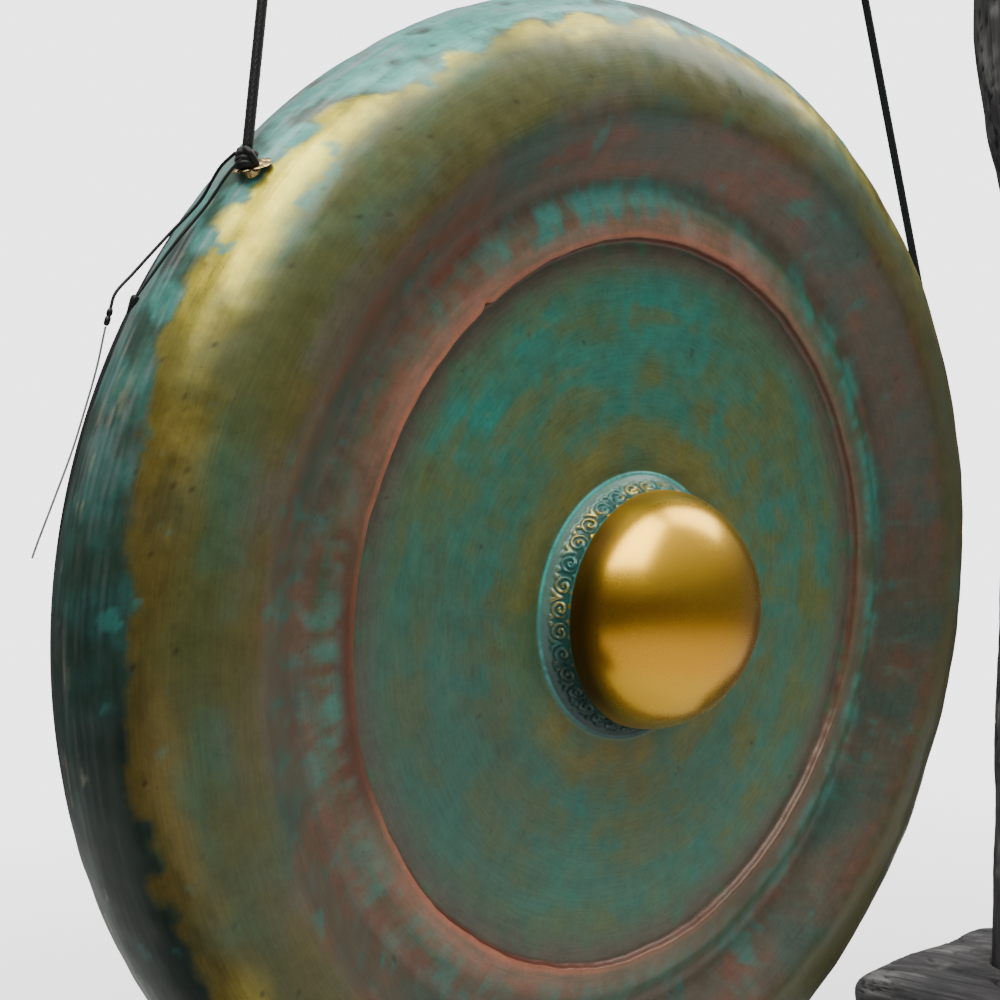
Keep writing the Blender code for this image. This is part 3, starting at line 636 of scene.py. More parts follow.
    # painted shadow: a dark red line at the foot of the lip
    c = lay(c, lip_shadow_red, band(uu, 2.972, 2.982, 2.99, 2.998) * (0.35 + 0.65 * warm) * 0.9)
    rough = rough + 0.05 * ridge * warm

    # ---- annulus, groove and the blue-green worn into them
    ann = smooth((uu - 3.6) / 0.35) * (1 - smooth((uu - 5.0) / 0.3))
    c = lay(c, brown, 0.88 * ann)
    c = lay(c, maroon, 0.70 * ann * smooth((sweep + 0.45 * drip + 0.15) / 0.6))
    c = lay(c, deep, 0.75 * ann * smooth((-blot + 0.10) / 0.5))
    rust = band(uu, 3.25, 3.5, 3.85, 4.35) * angle_table(tt, [(100, 0), (125, .5), (140, .9), (160, .7), (172, .5), (190, .55), (225, .8), (250, .7), (285, .2), (320, 0)])
    c = lay(c, colour(146, 78, 56), 0.62 * rust * smooth((sweep2 + 0.5) / 0.5))
    groove = band(uu, 3.15, 3.45, 3.88, 4.20) * angle_table(tt, [(0, .7), (30, .85), (55, .9), (72, .35), (90, .6), (104, .95), (124, .95), (136, .35), (165, .12), (178, .5),
                                                           (200, .75), (214, .4), (240, .5), (300, .25), (330, .6)])
    c = lay(c, turq, groove * smooth((0.7 * drip + 0.8 * blot2 + 0.34) / 0.75) * 0.85)
    left_runs = band(uu, 3.95, 4.1, 4.55, 4.9) * angle_table(tt, [(150, 0), (166, .8), (205, .9), (222, .4), (250, .2), (270, .5), (300, .6), (330, .2)])
    c = lay(c, turq * 0.62, left_runs * smooth((0.9 * drip + 0.5 * blot - 0.02) / 0.34) * 0.60)
    runs = band(uu, 3.7, 3.95, 4.35, 5.0) * smooth((0.8 * drip + 0.35 * blot2 - 0.16) / 0.36) * smooth((sweep2 + 0.25) / 0.5)
    c = lay(c, turq * 0.72, runs * 0.62)
    spots = smooth((blot2 - 0.30) / 0.26) * band(uu, 3.9, 4.15, 5.0, 5.3)
    c = lay(c, turq * 0.72, spots * 0.55)

    # ---- shoulder: dark olive green, then the gilded band, ragged at its outer edge
    sh = smooth((uu - 4.75) / 0.35)
    c = lay(c, colour(98, 98, 44), 0.84 * sh * (1 - smooth((uu - 5.9) / 0.3)) * smooth((sweep + 0.6) / 0.8))
    inner_edge = angle_table(tt, [(0, 5.20), (60, 5.24), (90, 5.30), (120, 5.38), (150, 5.47), (180, 5.36), (212, 5.30), (235, 5.20), (260, 5.22), (310, 5.15)])
    outer_edge = angle_table(tt, [(0, 5.50), (60, 5.42), (90, 5.47), (118, 5.54), (127, 5.49), (133, 5.53), (142, 5.68), (151, 5.78), (162, 5.74), (180, 5.60), (212, 5.55), (260, 5.6), (310, 5.5)])
    gild = smooth((uu - inner_edge + 0.04 + 0.14 * blot) / 0.24) * (1 - smooth((uu - outer_edge + 0.15 * ragged + 0.06 * drip) / 0.05))
    # this angle table mixes how thick the gilding is with painted light: the gilt turns from shaded bronze at the
    # sides to lit gold with a pale painted highlight over the top
    gilt_and_light = angle_table(tt, [(0, .10), (35, .22), (52, .70), (66, .95), (90, 1.0), (146, 1.0), (156, .72), (166, .50), (178, .32), (212, .30), (230, .7), (245, .8), (285, .45), (320, .12)])
    bronze = colour(150, 118, 62)
    lit_ = smooth(gilt_and_light * 1.3 - 0.15)
    gcol = bronze[None] * (1 - lit_)[:, None] + gold[None] * lit_[:, None] + (gilt_highlight - gold)[None] * (0.45 * smooth((blot2 + 0.2) / 0.5) * lit_)[:, None]
    gcol = gcol * (1 - 0.35 * smooth((-sweep2 - 0.10) / 0.3))[:, None]
    a = gild * (0.12 + 0.88 * smooth(gilt_and_light * 1.6)) * (0.62 + 0.38 * smooth((0.6 * blot + 0.6 * blot2 + 0.34) / 0.46))
    # painted shade: from the groove outward the colour is darkened by up to a third, most on the right and lower
    # right, not at all over the top
    c = c * (1 + 0.12 * ann)[:, None] * (1 - 0.36 * smooth((uu - 3.9) / 0.2) * angle_table(tt, [(0, 1), (35, .9), (62, .3), (85, 0), (160, .1), (200, .35), (250, .4), (300, .9)]))[:, None]
    c = c * (1 - a[:, None]) + gcol * a[:, None]
    metal = metal + (0.90 - metal) * a
    rough = rough - 0.10 * a

    # ---- rim wall: turquoise streaks over dark green and a grey-mauve bloom, with a painted highlight along its top and painted shade along its underside
    wall = smooth((uu - outer_edge + 0.12 * ragged) / 0.07) * (1 - smooth((uu - 7.0) / 0.02))
    topside = angle_table(tt, [(0, .55), (60, .8), (90, 1.0), (135, 1.0), (155, .75), (172, .25), (190, .05), (212, 0), (260, .1), (310, .3)])
    c = lay(c, colour(64, 96, 84), 0.92 * wall)
    # painted highlight: pale turquoise over the top of the wall
    c = lay(c, colour(108, 208, 196), wall * smooth((ragged + 0.6 * blot2 + 0.45) / 0.55) * 0.85 * topside)
    c = lay(c, colour(72, 150, 142), wall * smooth((ragged + 0.6 * blot2 - 0.02) / 0.35) * 0.6 * angle_table(tt, [(0, .6), (150, .9), (180, .6), (205, .35), (235, .2), (270, .5)]))
    streak = cloud(polar * [5, 5, 1] + np.stack([0 * tt, 0 * tt, uu * 46], 1), 3, 161)
    # grey-mauve bloom, made stronger over the top as painted highlight; the dark streaks below are made stronger
    # underneath as painted shade
    c = lay(c, colour(176, 172, 182), wall * smooth((streak - 0.02) / 0.26) * 0.62 * band(uu, 5.62, 5.85, 6.9, 7.0) * (0.35 + 0.65 * topside))
    c = lay(c, colour(44, 70, 64), wall * smooth((-streak - 0.02) / 0.25) * 0.50 * (1 - 0.6 * topside))
    # painted shade: near-black over the lower left of the wall
    lower = angle_table(tt, [(160, 0), (182, .45), (200, .85), (240, .95), (280, .5), (330, 0)])
    c = lay(c, colour(20, 32, 28), wall * lower * 0.86 * (1 - band(uu, 5.9, 6.02, 6.10, 6.3) * 0.6))
    scuff = smooth((cloud(polar * [14, 14, 1] + np.stack([0 * tt, 0 * tt, uu * 12], 1), 3, 191) - 0.30) / 0.14)
    c = lay(c, colour(176, 176, 150), wall * scuff * 0.5 * band(uu, 5.8, 5.95, 6.3, 6.6))
    back_line = angle_table(tt, [(144, 6.90), (154, 6.62), (174, 6.58), (188, 6.86), (330, 6.90)])
    black = smooth((uu - back_line + 0.06 * ragged) / 0.05) * 0.97
    c = lay(c, colour(10, 10, 10), black)
    rough = (rough - 0.10 * wall * topside) * (1 - black) + 0.9 * black
    metal = metal * (1 - black)

    # ---- chips: blue-green spots broken through the gilding, dark specks in the pits
    chips = smooth((ragged + 0.3 * blot2 - 0.36) / 0.09) * band(uu, 5.40, 5.5, 5.80, 5.9) * angle_table(tt, [(90, .1), (140, .7), (160, 1), (175, .6), (210, .3), (300, .3)])
    c = lay(c, colour(70, 164, 154), chips * 0.85)
    metal = metal * (1 - chips)
    speck = smooth((cloud(face_pts * 330.0, 2, 171) - 0.46) / 0.12) * band(uu, 4.9, 5.2, 5.8, 6.0)
    c = lay(c, colour(60, 50, 34), speck * 0.7)
    speck2 = smooth((cloud(face_pts * 240.0 + 3, 2, 181) - 0.56) / 0.10) * band(uu, 2.1, 2.3, 4.9, 5.1)
    c = lay(c, colour(48, 42, 36), speck2 * 0.5)

    # ---- gilded dome, with an amber band of painted reflection across its middle and a dark crescent of painted reflection round its left and lower edge
    on_dome = 1 - smooth((uu - 1.015) / 0.01)
    up = np.sin(np.clip(uu, 0, 1) * math.pi / 2) * np.sin(tt)
    # painted reflection: deeper amber across the middle of the dome
    amber_reflection_band = band(up, -0.62, -0.38, 0.02, 0.22)
    dcol = np.array([1.0, 0.57, 0.04])[None] * (1 + 0.04 * blot2[:, None]) + 0 * c
    dcol = dcol * (1 - amber_reflection_band[:, None]) + np.array([0.92, 0.45, 0.03])[None] * amber_reflection_band[:, None]
    # painted reflection: dark brown crescent on the left and lower edge of the dome
    dark_reflection_crescent = smooth((uu - 0.74) / 0.18) * angle_table(tt, [(100, 0), (125, .35), (150, .85), (225, .95), (255, .4), (285, 0)])
    dcol = dcol * (1 - dark_reflection_crescent[:, None]) + np.array([0.11, 0.042, 0.010])[None] * dark_reflection_crescent[:, None]
    c = lay(c, 0, on_dome) + dcol * on_dome[:, None]
    metal = metal * (1 - on_dome) + on_dome * 1.0
    rough = rough * (1 - on_dome) + on_dome * (0.27 + 0.20 * smooth((uu - 0.80) / 0.2))
    # ---- engraved neck: gold on the raised curls, blue-green in the ground, gone lower down
    neck = band(uu, 1.005, 1.02, 1.99, 2.005)
    c = lay(c, colour(70, 142, 134), neck)
    c = lay(c, colour(128, 156, 140), neck * band(uu, 1.6, 1.75, 1.9, 1.96) * 0.6)
    # painted light by angle, strongest over the upper left and fading below; it scales the real gold on the curls and
    # the dark patina in the ground between them
    bright = angle_table(tt, [(60, .5), (95, .9), (130, 1.0), (165, 1.0), (180, .8), (196, .55), (215, .35), (240, .2), (270, .2), (330, .3)])
    g2 = neck * cl * smooth((ragged + 0.5 * blot2 + 0.26) / 0.34) * bright * (1 - 0.6 * smooth((uu - 1.42) / 0.3))
    c = lay(c, colour(232, 196, 78), g2)
    metal = metal * (1 - neck) + neck * 0.15
    metal = metal + (0.95 - metal) * g2
    rough = rough * (1 - neck) + neck * 0.30
    c = lay(c, colour(22, 52, 52), neck * (1 - cl) * band(uu, 1.10, 1.13, 1.66, 1.74) * 0.62 * bright)
    shade = angle_table(tt, [(182, 0), (200, .5), (220, .9), (285, 1), (330, .4), (20, 0)])
    c = lay(c, colour(18, 52, 54), neck * shade * 0.92)
    bead = band(uu, 1.92, 1.95, 1.985, 2.003)
    # painted highlight: bright cyan along the base bead, strongest over the top
    c = lay(c, colour(96, 214, 206), bead * angle_table(tt, [(40, .5), (90, .95), (150, 1), (205, .8), (225, .3), (275, .05), (330, .3)]) * (0.35 + 0.6 * smooth((blot2 + 0.6 * drip + 0.3) / 0.5)))

    # ---- hollow side: dark fired bronze with heat colours and a little green
    back = smooth((uu - 7.005) / 0.01)
    b0 = colour(58, 44, 34)[None] * (1 + 0.35 * blot[:, None]) + 0 * c
    b0 = lay(b0, colour(104, 74, 42), smooth((sweep - 0.05) / 0.4) * 0.6)
    b0 = lay(b0, colour(40, 70, 62), smooth((blot2 - 0.12) / 0.3) * 0.45)
    b0 = lay(b0, colour(22, 20, 20), smooth((-sweep2 - 0.10) / 0.3) * 0.6)
    c = c * (1 - back[:, None]) + b0 * back[:, None]
    metal = metal * (1 - back) + back * 0.75
    rough = rough * (1 - back) + back * 0.46
    return np.clip(c, 0.002, 1), np.clip(metal, 0, 1), np.clip(rough, 0.1, 0.95)


C, M, R = paint()
me = shell.data


def store(me, name, values, kind="FLOAT_COLOR"):
    at = me.attributes.new(name, kind, "POINT")
    if kind == "FLOAT_COLOR":
        at.data.foreach_set("color", np.concatenate([values, np.ones((len(values), 1))], 1).astype(np.float32).ravel())
    else:
        at.data.foreach_set("vector", values.astype(np.float32).ravel())


store(me, "patina", C)
store(me, "finish", np.stack([M, R, np.clip(uu / 14, 0, 1)], 1))
store(me, "round", np.stack([np.cos(tt), np.sin(tt), uu * 0.35], 1), "FLOAT_VECTOR")
bm = bmesh.new()
bm.from_mesh(me)
bmesh.ops.remove_doubles(bm, verts=bm.verts, dist=0.00002)
bmesh.ops.recalc_face_normals(bm, faces=bm.faces)
bm.to_mesh(me)
bm.free()
me.shade_smooth()
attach(shell, "gong")
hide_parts("gong_shell")

m, n, b, links = material("patinated_bronze")
paint_c = n.add("Attribute", props={"attribute_name": "patina"})
fin = m.node_tree.nodes.new("ShaderNodeAttribute")
fin.attribute_name = "finish"
sepf = m.node_tree.nodes.new("ShaderNodeSeparateColor")
links.new(fin.outputs[0], sepf.inputs[0])
rnd = n.add("Attribute", out=1, props={"attribute_name": "round"})
obj = n.add("TexCoord", out=3)
mottle = n.noise(obj, 140.0, 6.0, 0.62)
fleck = n.noise(obj, 620.0, 4.0, 0.6)
brush = n.noise(n.scale(rnd, (9.0, 9.0, 260.0)), 1.0, 3.0, 0.6)
val = n.math("ADD", n.math("MULTIPLY", mottle, 0.55), n.math("ADD", n.math("MULTIPLY", fleck, 0.25), n.math("MULTIPLY", brush, 0.40)))
tone = n.ramp(val, [(0.40, 0.74), (0.60, 1.0), (0.80, 1.26)])
tinted = n.mix(1.0, paint_c, tone, "MULTIPLY")
grit = n.ramp(n.noise(obj, 900.0, 2.0, 0.5), [(0.0, 1.0), (0.69, 1.0), (0.74, 0.0)])
tinted = n.mix(n.math("MULTIPLY", n.math("SUBTRACT", 1.0, grit), 0.35), tinted, (0.03, 0.028, 0.024))
body = n.math("GREATER_THAN", sepf.outputs[2], 0.0724)          # everything but the dome
tinted = n.mix(n.math("MULTIPLY_ADD", body, 0.94, 0.06), paint_c, tinted)
links.new(tinted, b.inputs["Base Color"])
links.new(sepf.outputs[0], b.inputs["Metallic"])
links.new(n.math("ADD", sepf.outputs[1], n.math("MULTIPLY", n.math("SUBTRACT", mottle, 0.5), n.math("MULTIPLY_ADD", body, 0.17, 0.05))), b.inputs["Roughness"])
sheen_ = n.math("LESS_THAN", sepf.outputs[1], 0.80)
links.new(n.math("MULTIPLY", sheen_, 0.30), b.inputs["Coat Weight"])
b.inputs["Coat Roughness"].default_value = 0.22
b.inputs["Specular IOR Level"].default_value = 0.42
hgt = n.math("ADD", n.math("MULTIPLY", fleck, 0.30), n.math("ADD", n.math("MULTIPLY", brush, 0.35), n.math("MULTIPLY", mottle, 0.5)))
links.new(n.bump(n.math("MULTIPLY", hgt, n.math("MULTIPLY_ADD", body, 0.93, 0.07)), 0.00020, 0.5), b.inputs["Normal"])
me.materials.append(m)

# ------------------------------------------------------------------ materials for the rest
def braid_material():
    m, n, b, links = material("black_braid")
    obj = n.add("TexCoord", out=3)
    f = n.noise(obj, 2600.0, 3.0, 0.6)
    c = n.ramp(f, [(0.3, (0.0045, 0.0045, 0.005)), (0.62, (0.011, 0.011, 0.0125)), (0.8, (0.05, 0.05, 0.056))])
    links.new(c, b.inputs["Base Color"])
    links.new(n.math("MULTIPLY_ADD", f, 0.3, 0.26), b.inputs["Roughness"])
    b.inputs["Sheen Weight"].default_value = 0.15
    b.inputs["Specular IOR Level"].default_value = 0.38
    links.new(n.bump(n.noise(n.scale(obj, (3000, 3000, 3000)), 1.0, 2.0), 0.00008, 0.6), b.inputs["Normal"])
    return m


BRAID = braid_material()


def brass_material():
    m, n, b, links = material("eyelet_brass")
    obj = n.add("TexCoord", out=3)
    f = n.noise(obj, 700.0, 4.0, 0.6)
    c = n.ramp(f, [(0.25, (0.20, 0.12, 0.04)), (0.45, (0.62, 0.44, 0.17)), (0.75, (0.86, 0.68, 0.36))])
    links.new(c, b.inputs["Base Color"])
    b.inputs["Metallic"].default_value = 1.0
    links.new(n.math("MULTIPLY_ADD", f, 0.3, 0.10), b.inputs["Roughness"])
    links.new(n.bump(n.noise(obj, 1500.0, 3.0), 0.00005, 0.6), b.inputs["Normal"])
    return m


BRASS = brass_material()


def simple_material(name, dark, light, scale, roughness, bump, stretch=(1, 1, 1), metallic=0.0, sheen=0.0, detail=4.0):
    m, n, b, links = material(name)
    obj = n.scale(n.add("TexCoord", out=3), stretch)
    f = n.noise(obj, scale, detail, 0.6)
    links.new(n.ramp(f, [(0.3, dark), (0.7, light)]), b.inputs["Base Color"])
    links.new(n.math("MULTIPLY_ADD", f, 0.25, roughness - 0.12), b.inputs["Roughness"])
    b.inputs["Metallic"].default_value = metallic
    if sheen:
        b.inputs["Sheen Weight"].default_value = sheen
    links.new(n.bump(n.noise(obj, scale * 2.3, 3.0), bump, 0.7), b.inputs["Normal"])
    return m


STRING = simple_material("waxed_string", (0.004, 0.004, 0.0045), (0.017, 0.017, 0.018), 2500.0, 0.50, 0.00006)
TAGPLASTIC = simple_material("black_moulded_tag", (0.006, 0.006, 0.006), (0.016, 0.015, 0.015), 700.0, 0.34, 0.00003)
NYLON = simple_material("nylon_filament", (0.20, 0.20, 0.21), (0.36, 0.36, 0.38), 900.0, 0.30, 0.00002)
PEG = simple_material("dowel_end", (0.085, 0.065, 0.048), (0.21, 0.165, 0.12), 320.0, 0.72, 0.00010, (1, 1, 0.2))
STEEL = simple_material("zinc_screw", (0.36, 0.36, 0.37), (0.66, 0.66, 0.66), 500.0, 0.34, 0.00003, (1, 1, 6), metallic=1.0)
FELT = simple_material("black_felt", (0.008, 0.008, 0.009), (0.045, 0.045, 0.05), 1500.0, 0.95, 0.00020, sheen=0.4)


def wood_material(name, axis):
    """Weathered wood, grain along axis 0, 1 or 2; "crack" and "worn" come with the mesh."""
    m, n, b, links = material(name)
    obj = n.add("TexCoord", out=3)
    long_ = [1.0, 1.0, 1.0]
    long_[axis] = 0.055
    fibre = n.noise(n.scale(obj, tuple(long_)), 520.0, 6.0, 0.66)
    thick = n.noise(n.scale(obj, tuple(long_)), 120.0, 5.0, 0.6, 0.4)
    cloudy = n.noise(obj, 22.0, 5.0, 0.6)
    at = m.node_tree.nodes.new("ShaderNodeAttribute")
    at.attribute_name = "wear"
    s = m.node_tree.nodes.new("ShaderNodeSeparateColor")
    links.new(at.outputs[0], s.inputs[0])
    v = n.math("ADD", n.math("MULTIPLY", fibre, 0.55), n.math("MULTIPLY", thick, 0.45))
    base = n.ramp(v, [(0.30, (0.016, 0.0155, 0.017)), (0.44, (0.052, 0.050, 0.053)), (0.56, (0.115, 0.112, 0.117)), (0.72, (0.24, 0.235, 0.24))])
    base = n.mix(n.math("MULTIPLY", n.ramp(cloudy, [(0.42, 0.0), (0.66, 1.0)]), 0.55), base, (0.030, 0.029, 0.032))
    base = n.mix(n.math("MULTIPLY", s.outputs[0], 0.92), base, (0.006, 0.006, 0.007))
    worn = n.mix(fibre, (0.13, 0.127, 0.128), (0.34, 0.335, 0.335))
    base = n.mix(n.math("MULTIPLY", s.outputs[1], n.ramp(v, [(0.35, 0.2), (0.6, 1.0)])), base, worn)
    links.new(base, b.inputs["Base Color"])
    links.new(n.math("MULTIPLY_ADD", fibre, 0.3, 0.55), b.inputs["Roughness"])
    b.inputs["Specular IOR Level"].default_value = 0.30
    links.new(n.bump(n.math("ADD", n.math("MULTIPLY", fibre, 0.6), n.math("MULTIPLY", thick, 0.9)), 0.0009, 0.9), b.inputs["Normal"])
    return m


WOOD_X, WOOD_Y, WOOD_Z = wood_material("driftwood_along_x", 0), wood_material("driftwood_along_y", 1), wood_material("driftwood_along_z", 2)


def wood_skin(verts, normals, axis, seed, free, depth=1.0, worn=None):
    """Moves points in and out for knots, cracks and fibres; returns points and (crack, wear) values."""
    v = np.asarray(verts, float)
    q = v.copy()
    q[:, axis] *= 0.13
    ridges = 1 - np.abs(cloud(q * 150.0 + seed, 3, 201)) * 3.2
    crack = smooth((ridges - 0.86) / 0.13) * smooth((cloud(v * 24.0 + seed, 2, 205) + 0.20) / 0.25)
    q2 = v.copy()
    q2[:, axis] *= 0.07
    fibre = cloud(q2 * 420.0 + seed, 3, 211)
    lumps = cloud(v * 55.0 + seed, 3, 221)
    d = (-crack * 0.0008 + fibre * 0.00030 + lumps * 0.00045) * depth * free
    wear = smooth((lumps + 0.35 * fibre - 0.12) / 0.4) * (1 - crack)
    if worn is not None:
        wear = np.maximum(wear * 0.6, worn)
    return v + np.asarray(normals) * d[:, None], crack * np.minimum(1, free + 0.3), wear


def wear_attribute(o, crack, wear):
    store(o.data, "wear", np.stack([crack, wear, 0 * crack], 1))


def log(name, centres, radii, axis, seed, bump, scale, keep, mat, cols=84, step=0.0016, ends=0.0015, worn=None):
    """A turned branch with a skin of cracks: centres along one axis, rings in the cross plane."""
    pts = np.array(centres, float)
    along = pts[:, axis]
    n_ = int(abs(along[-1] - along[0]) / (step * 1.0)) + 1
    t = np.linspace(along[0], along[-1], n_)
    o1, o2 = [k for k in range(3) if k != axis]
    c1, c2, rr = np.interp(t, along, pts[:, o1]), np.interp(t, along, pts[:, o2]), np.interp(t, along, radii)
    a = np.arange(cols) * 2 * math.pi / cols
    verts, norms = np.zeros((n_, cols, 3)), np.zeros((n_, cols, 3))
    verts[..., axis] = t[:, None]
    # ends drawn in over a small round
    edge = np.minimum(t - t[0], t[-1] - t)
    pull = np.where(edge < ends, ends - np.sqrt(np.maximum(0, ends**2 - (ends - edge) ** 2)), 0)
    verts[..., o1] = c1[:, None] + (rr - pull)[:, None] * np.cos(a)
    verts[..., o2] = c2[:, None] + (rr - pull)[:, None] * np.sin(a)
    norms[..., o1], norms[..., o2] = np.cos(a), np.sin(a)
    v, nn = verts.reshape(-1, 3), norms.reshape(-1, 3)
    free = keep(v)
    cad = np.array([noise.noise(Vector(p) * scale + Vector((seed, 0, 0))) for p in v])
    v = v + nn * (cad * bump * free)[:, None]
    v, crack, wear = wood_skin(v, nn, axis, seed, free, worn=None if worn is None else worn(v))
    faces = grid_faces(n_, cols)
    # end grain: two rings in and a centre, slightly dished
    extra, ecrack, ewear = [], [], []
    for k, ring in ((0, v[:cols]), (1, v[-cols:])):
        base = len(v) + len(extra)
        mid = ring.mean(0)
        prev = [j if k == 0 else (n_ - 1) * cols + j for j in range(cols)]
        for lev, f in enumerate((0.86, 0.62, 0.36, 0.14)):
            pr = mid + (ring - mid) * f
            spoke = cloud(np.stack([np.cos(a) * 7, np.sin(a) * 7, 0 * a + f * 2 + seed], 1), 2, 231)
            pr[:, axis] += (1 if k == 0 else -1) * (0.0003 + 0.0012 * smooth((spoke - 0.1) / 0.3))
            extra += list(pr)
            ecrack += list(smooth((spoke - 0.05) / 0.3))
            ewear += [0.25] * cols
            now = [base + lev * cols + j for j in range(cols)]
            for j in range(cols):
                q = (prev[j], prev[(j + 1) % cols], now[(j + 1) % cols], now[j])
                faces.append(q[::-1] if k == 0 else q)
            prev = now
        extra.append(mid + 0 * mid)
        ecrack.append(0.8)
        ewear.append(0.0)
        tip = len(v) + len(extra) - 1
        for j in range(cols):
            q = (prev[j], prev[(j + 1) % cols], tip)
            faces.append(q[::-1] if k == 0 else q)
    allv = np.concatenate([v, np.array(extra)], 0)
    o = mesh_object(name, allv, faces, mat)
    wear_attribute(o, np.concatenate([crack, ecrack]), np.concatenate([wear, ewear]))
    outward(o)
    return o


# ------------------------------------------------------------------ crossbar
def bar_keep(v):
    free = np.ones(len(v))
    for x in LASHING_X:
        free = np.minimum(free, smooth((np.abs(v[:, 0] - x) - 0.013) / 0.030))
    return np.minimum(free, smooth((0.253 - np.abs(v[:, 0])) / 0.030))


count = 31
bar_pts = [(-BAR_HALF_LENGTH + 2 * BAR_HALF_LENGTH * i / (count - 1), 0.0, BAR_HEIGHT) for i in range(count)]
bar = log("driftwood_crossbar", bar_pts, [BAR_RADIUS - 0.0001] * count, 0, 3.1, 0.0026, 26.0, bar_keep, WOOD_X, 72)
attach(bar, "stand")
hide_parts("crossbar")

# ------------------------------------------------------------------ posts
POST_LINE = {
    1: [(0.0403, POST_X, 0.000, 0.0290), (0.090, 0.2735, 0.001, 0.0280), (0.150, 0.2800, 0.002, 0.0270),
        (0.240, 0.2885, 0.001, 0.0262), (0.330, 0.2960, -0.001, 0.0262), (0.380, 0.2955, -0.001, 0.0272),
        (0.415, 0.2885, 0.000, 0.0292), (0.460, 0.2835, 0.001, 0.0286), (0.530, 0.2835, 0.000, 0.0274),
        (POST_TOP, POST_TOP_X, 0.000, 0.0270)],
    -1: [(0.0403, POST_X, 0.000, 0.0290), (0.100, 0.2740, -0.001, 0.0276), (0.180, 0.2850, -0.003, 0.0284),
         (0.260, 0.2940, -0.002, 0.0272), (0.340, 0.2940, 0.001, 0.0260), (0.420, 0.2880, 0.003, 0.0266),
         (0.480, 0.2850, 0.002, 0.0286), (0.540, 0.2845, 0.000, 0.0272), (POST_TOP, POST_TOP_X, 0.000, 0.0270)],
}


def post_keep(v):
    return smooth((v[:, 2] - 0.058) / 0.03) * smooth((POST_TOP - 0.03 - v[:, 2]) / 0.05)


for side, word, seed in ((-1, "left", 7.3), (1, "right", 1.9)):
    line = [row for row in through(POST_LINE[side], 40)]
    pts = [(side * x, y, z) for z, x, y, r in line]
    pts[0] = (pts[0][0], pts[0][1], 0.0409)
    pts[-1] = (pts[-1][0], pts[-1][1], POST_TOP - 0.0006)
    post = log("driftwood_%s_post" % word, pts, [r for z, x, y, r in line], 2, seed, 0.0016, 30.0, post_keep, WOOD_Z, 96)
    boolean(post, *cylinder_at((side * POST_TOP_X, 0, BAR_HEIGHT), (1, 0, 0), BAR_RADIUS + 0.0005, -0.06, 0.06, 56))
    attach(post, "stand")
    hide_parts(word + "_post")

# ------------------------------------------------------------------ feet
for side, word, seed in ((-1, "left", 11.7), (1, "right", 5.2)):
    cx = side * (FOOT_INNER_X + FOOT_OUTER_X) / 2
    half = Vector(((FOOT_OUTER_X - FOOT_INNER_X) / 2, FOOT_HALF_LENGTH, (FOOT_TOP - FOOT_BOTTOM) / 2))
    bm = bmesh.new()
    bmesh.ops.create_cube(bm, size=2.0)
    bmesh.ops.subdivide_edges(bm, edges=bm.edges, cuts=47, use_grid_fill=True)
    co = []
    for v in bm.verts:
        p = v.co.copy()
        norm = (abs(p.x) ** 7 + abs(p.y) ** 7 + abs(p.z) ** 7) ** (1 / 7)
        q = p.lerp(p / norm, 0.85)
        k = noise.noise(Vector((p.x * 1.3, p.y * 1.9, p.z * 0.9)) + Vector((seed, 0, 0)))
        q *= 1.0 + 0.055 * k
        q.z = max(q.z, -1.0) if p.z > -0.999 else -1.0
        co.append((q.x * half.x, q.y * half.y, q.z * half.z))
    co = np.array(co)
    lo, hi = co.min(0), co.max(0)
    h3 = np.array(half)
    co = (co - lo) / (hi - lo) * 2 * h3 - h3
    for v, c_ in zip(bm.verts, co):
        v.co = c_ + np.array((cx, 0, (FOOT_TOP + FOOT_BOTTOM) / 2))
    bm.normal_update()
    vv = np.array([v.co[:] for v in bm.verts])
    nn = np.array([v.normal[:] for v in bm.verts])
    flat_under = smooth((vv[:, 2] - FOOT_BOTTOM - 0.001) / 0.004)
    seat = smooth((np.hypot(vv[:, 0] - side * POST_X, vv[:, 1]) - 0.031) / 0.006)
    free = flat_under * np.where(vv[:, 2] > 0.040, np.maximum(seat, 0.15), 1.0)
    vv, crack, wear = wood_skin(vv - nn * (0.0012 * free)[:, None], nn, 1, seed, free)
    for v, c_ in zip(bm.verts, vv):
        v.co = c_
    mesh_ = bpy.data.meshes.new("foot")
    bm.to_mesh(mesh_)
    bm.free()
    foot = bpy.data.objects.new("driftwood_%s_foot" % word, mesh_)
    bpy.context.scene.collection.objects.link(foot)
    mesh_.materials.append(WOOD_Y)
    mesh_.shade_smooth()
    wear_attribute(foot, crack, wear)
    boolean(foot, *cylinder_at((side * POST_X, 0, 0), (0, 0, 1), 0.0300, 0.0402, 0.070, 64))
    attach(foot, "stand")
    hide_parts(word + "_foot")

# ------------------------------------------------------------------ eyelets at the rim
NORMAL_TILT = math.asin((SHOULDER_DEPTH - HOLE_DEPTH) / SHOULDER_RADIUS)
HOLE_R = GONG_RADIUS - SHOULDER_RADIUS + SHOULDER_RADIUS * math.cos(NORMAL_TILT)


def rim_axes(side):
    radial = Vector((side * math.sin(HOLE_ANGLE), 0, math.cos(HOLE_ANGLE)))
    normal = radial * math.cos(NORMAL_TILT) + Vector((0, -1, 0)) * math.sin(NORMAL_TILT)
    return HANG @ normal, CENTRE + HANG @ (radial * HOLE_R + Vector((0, HOLE_DEPTH, 0)))


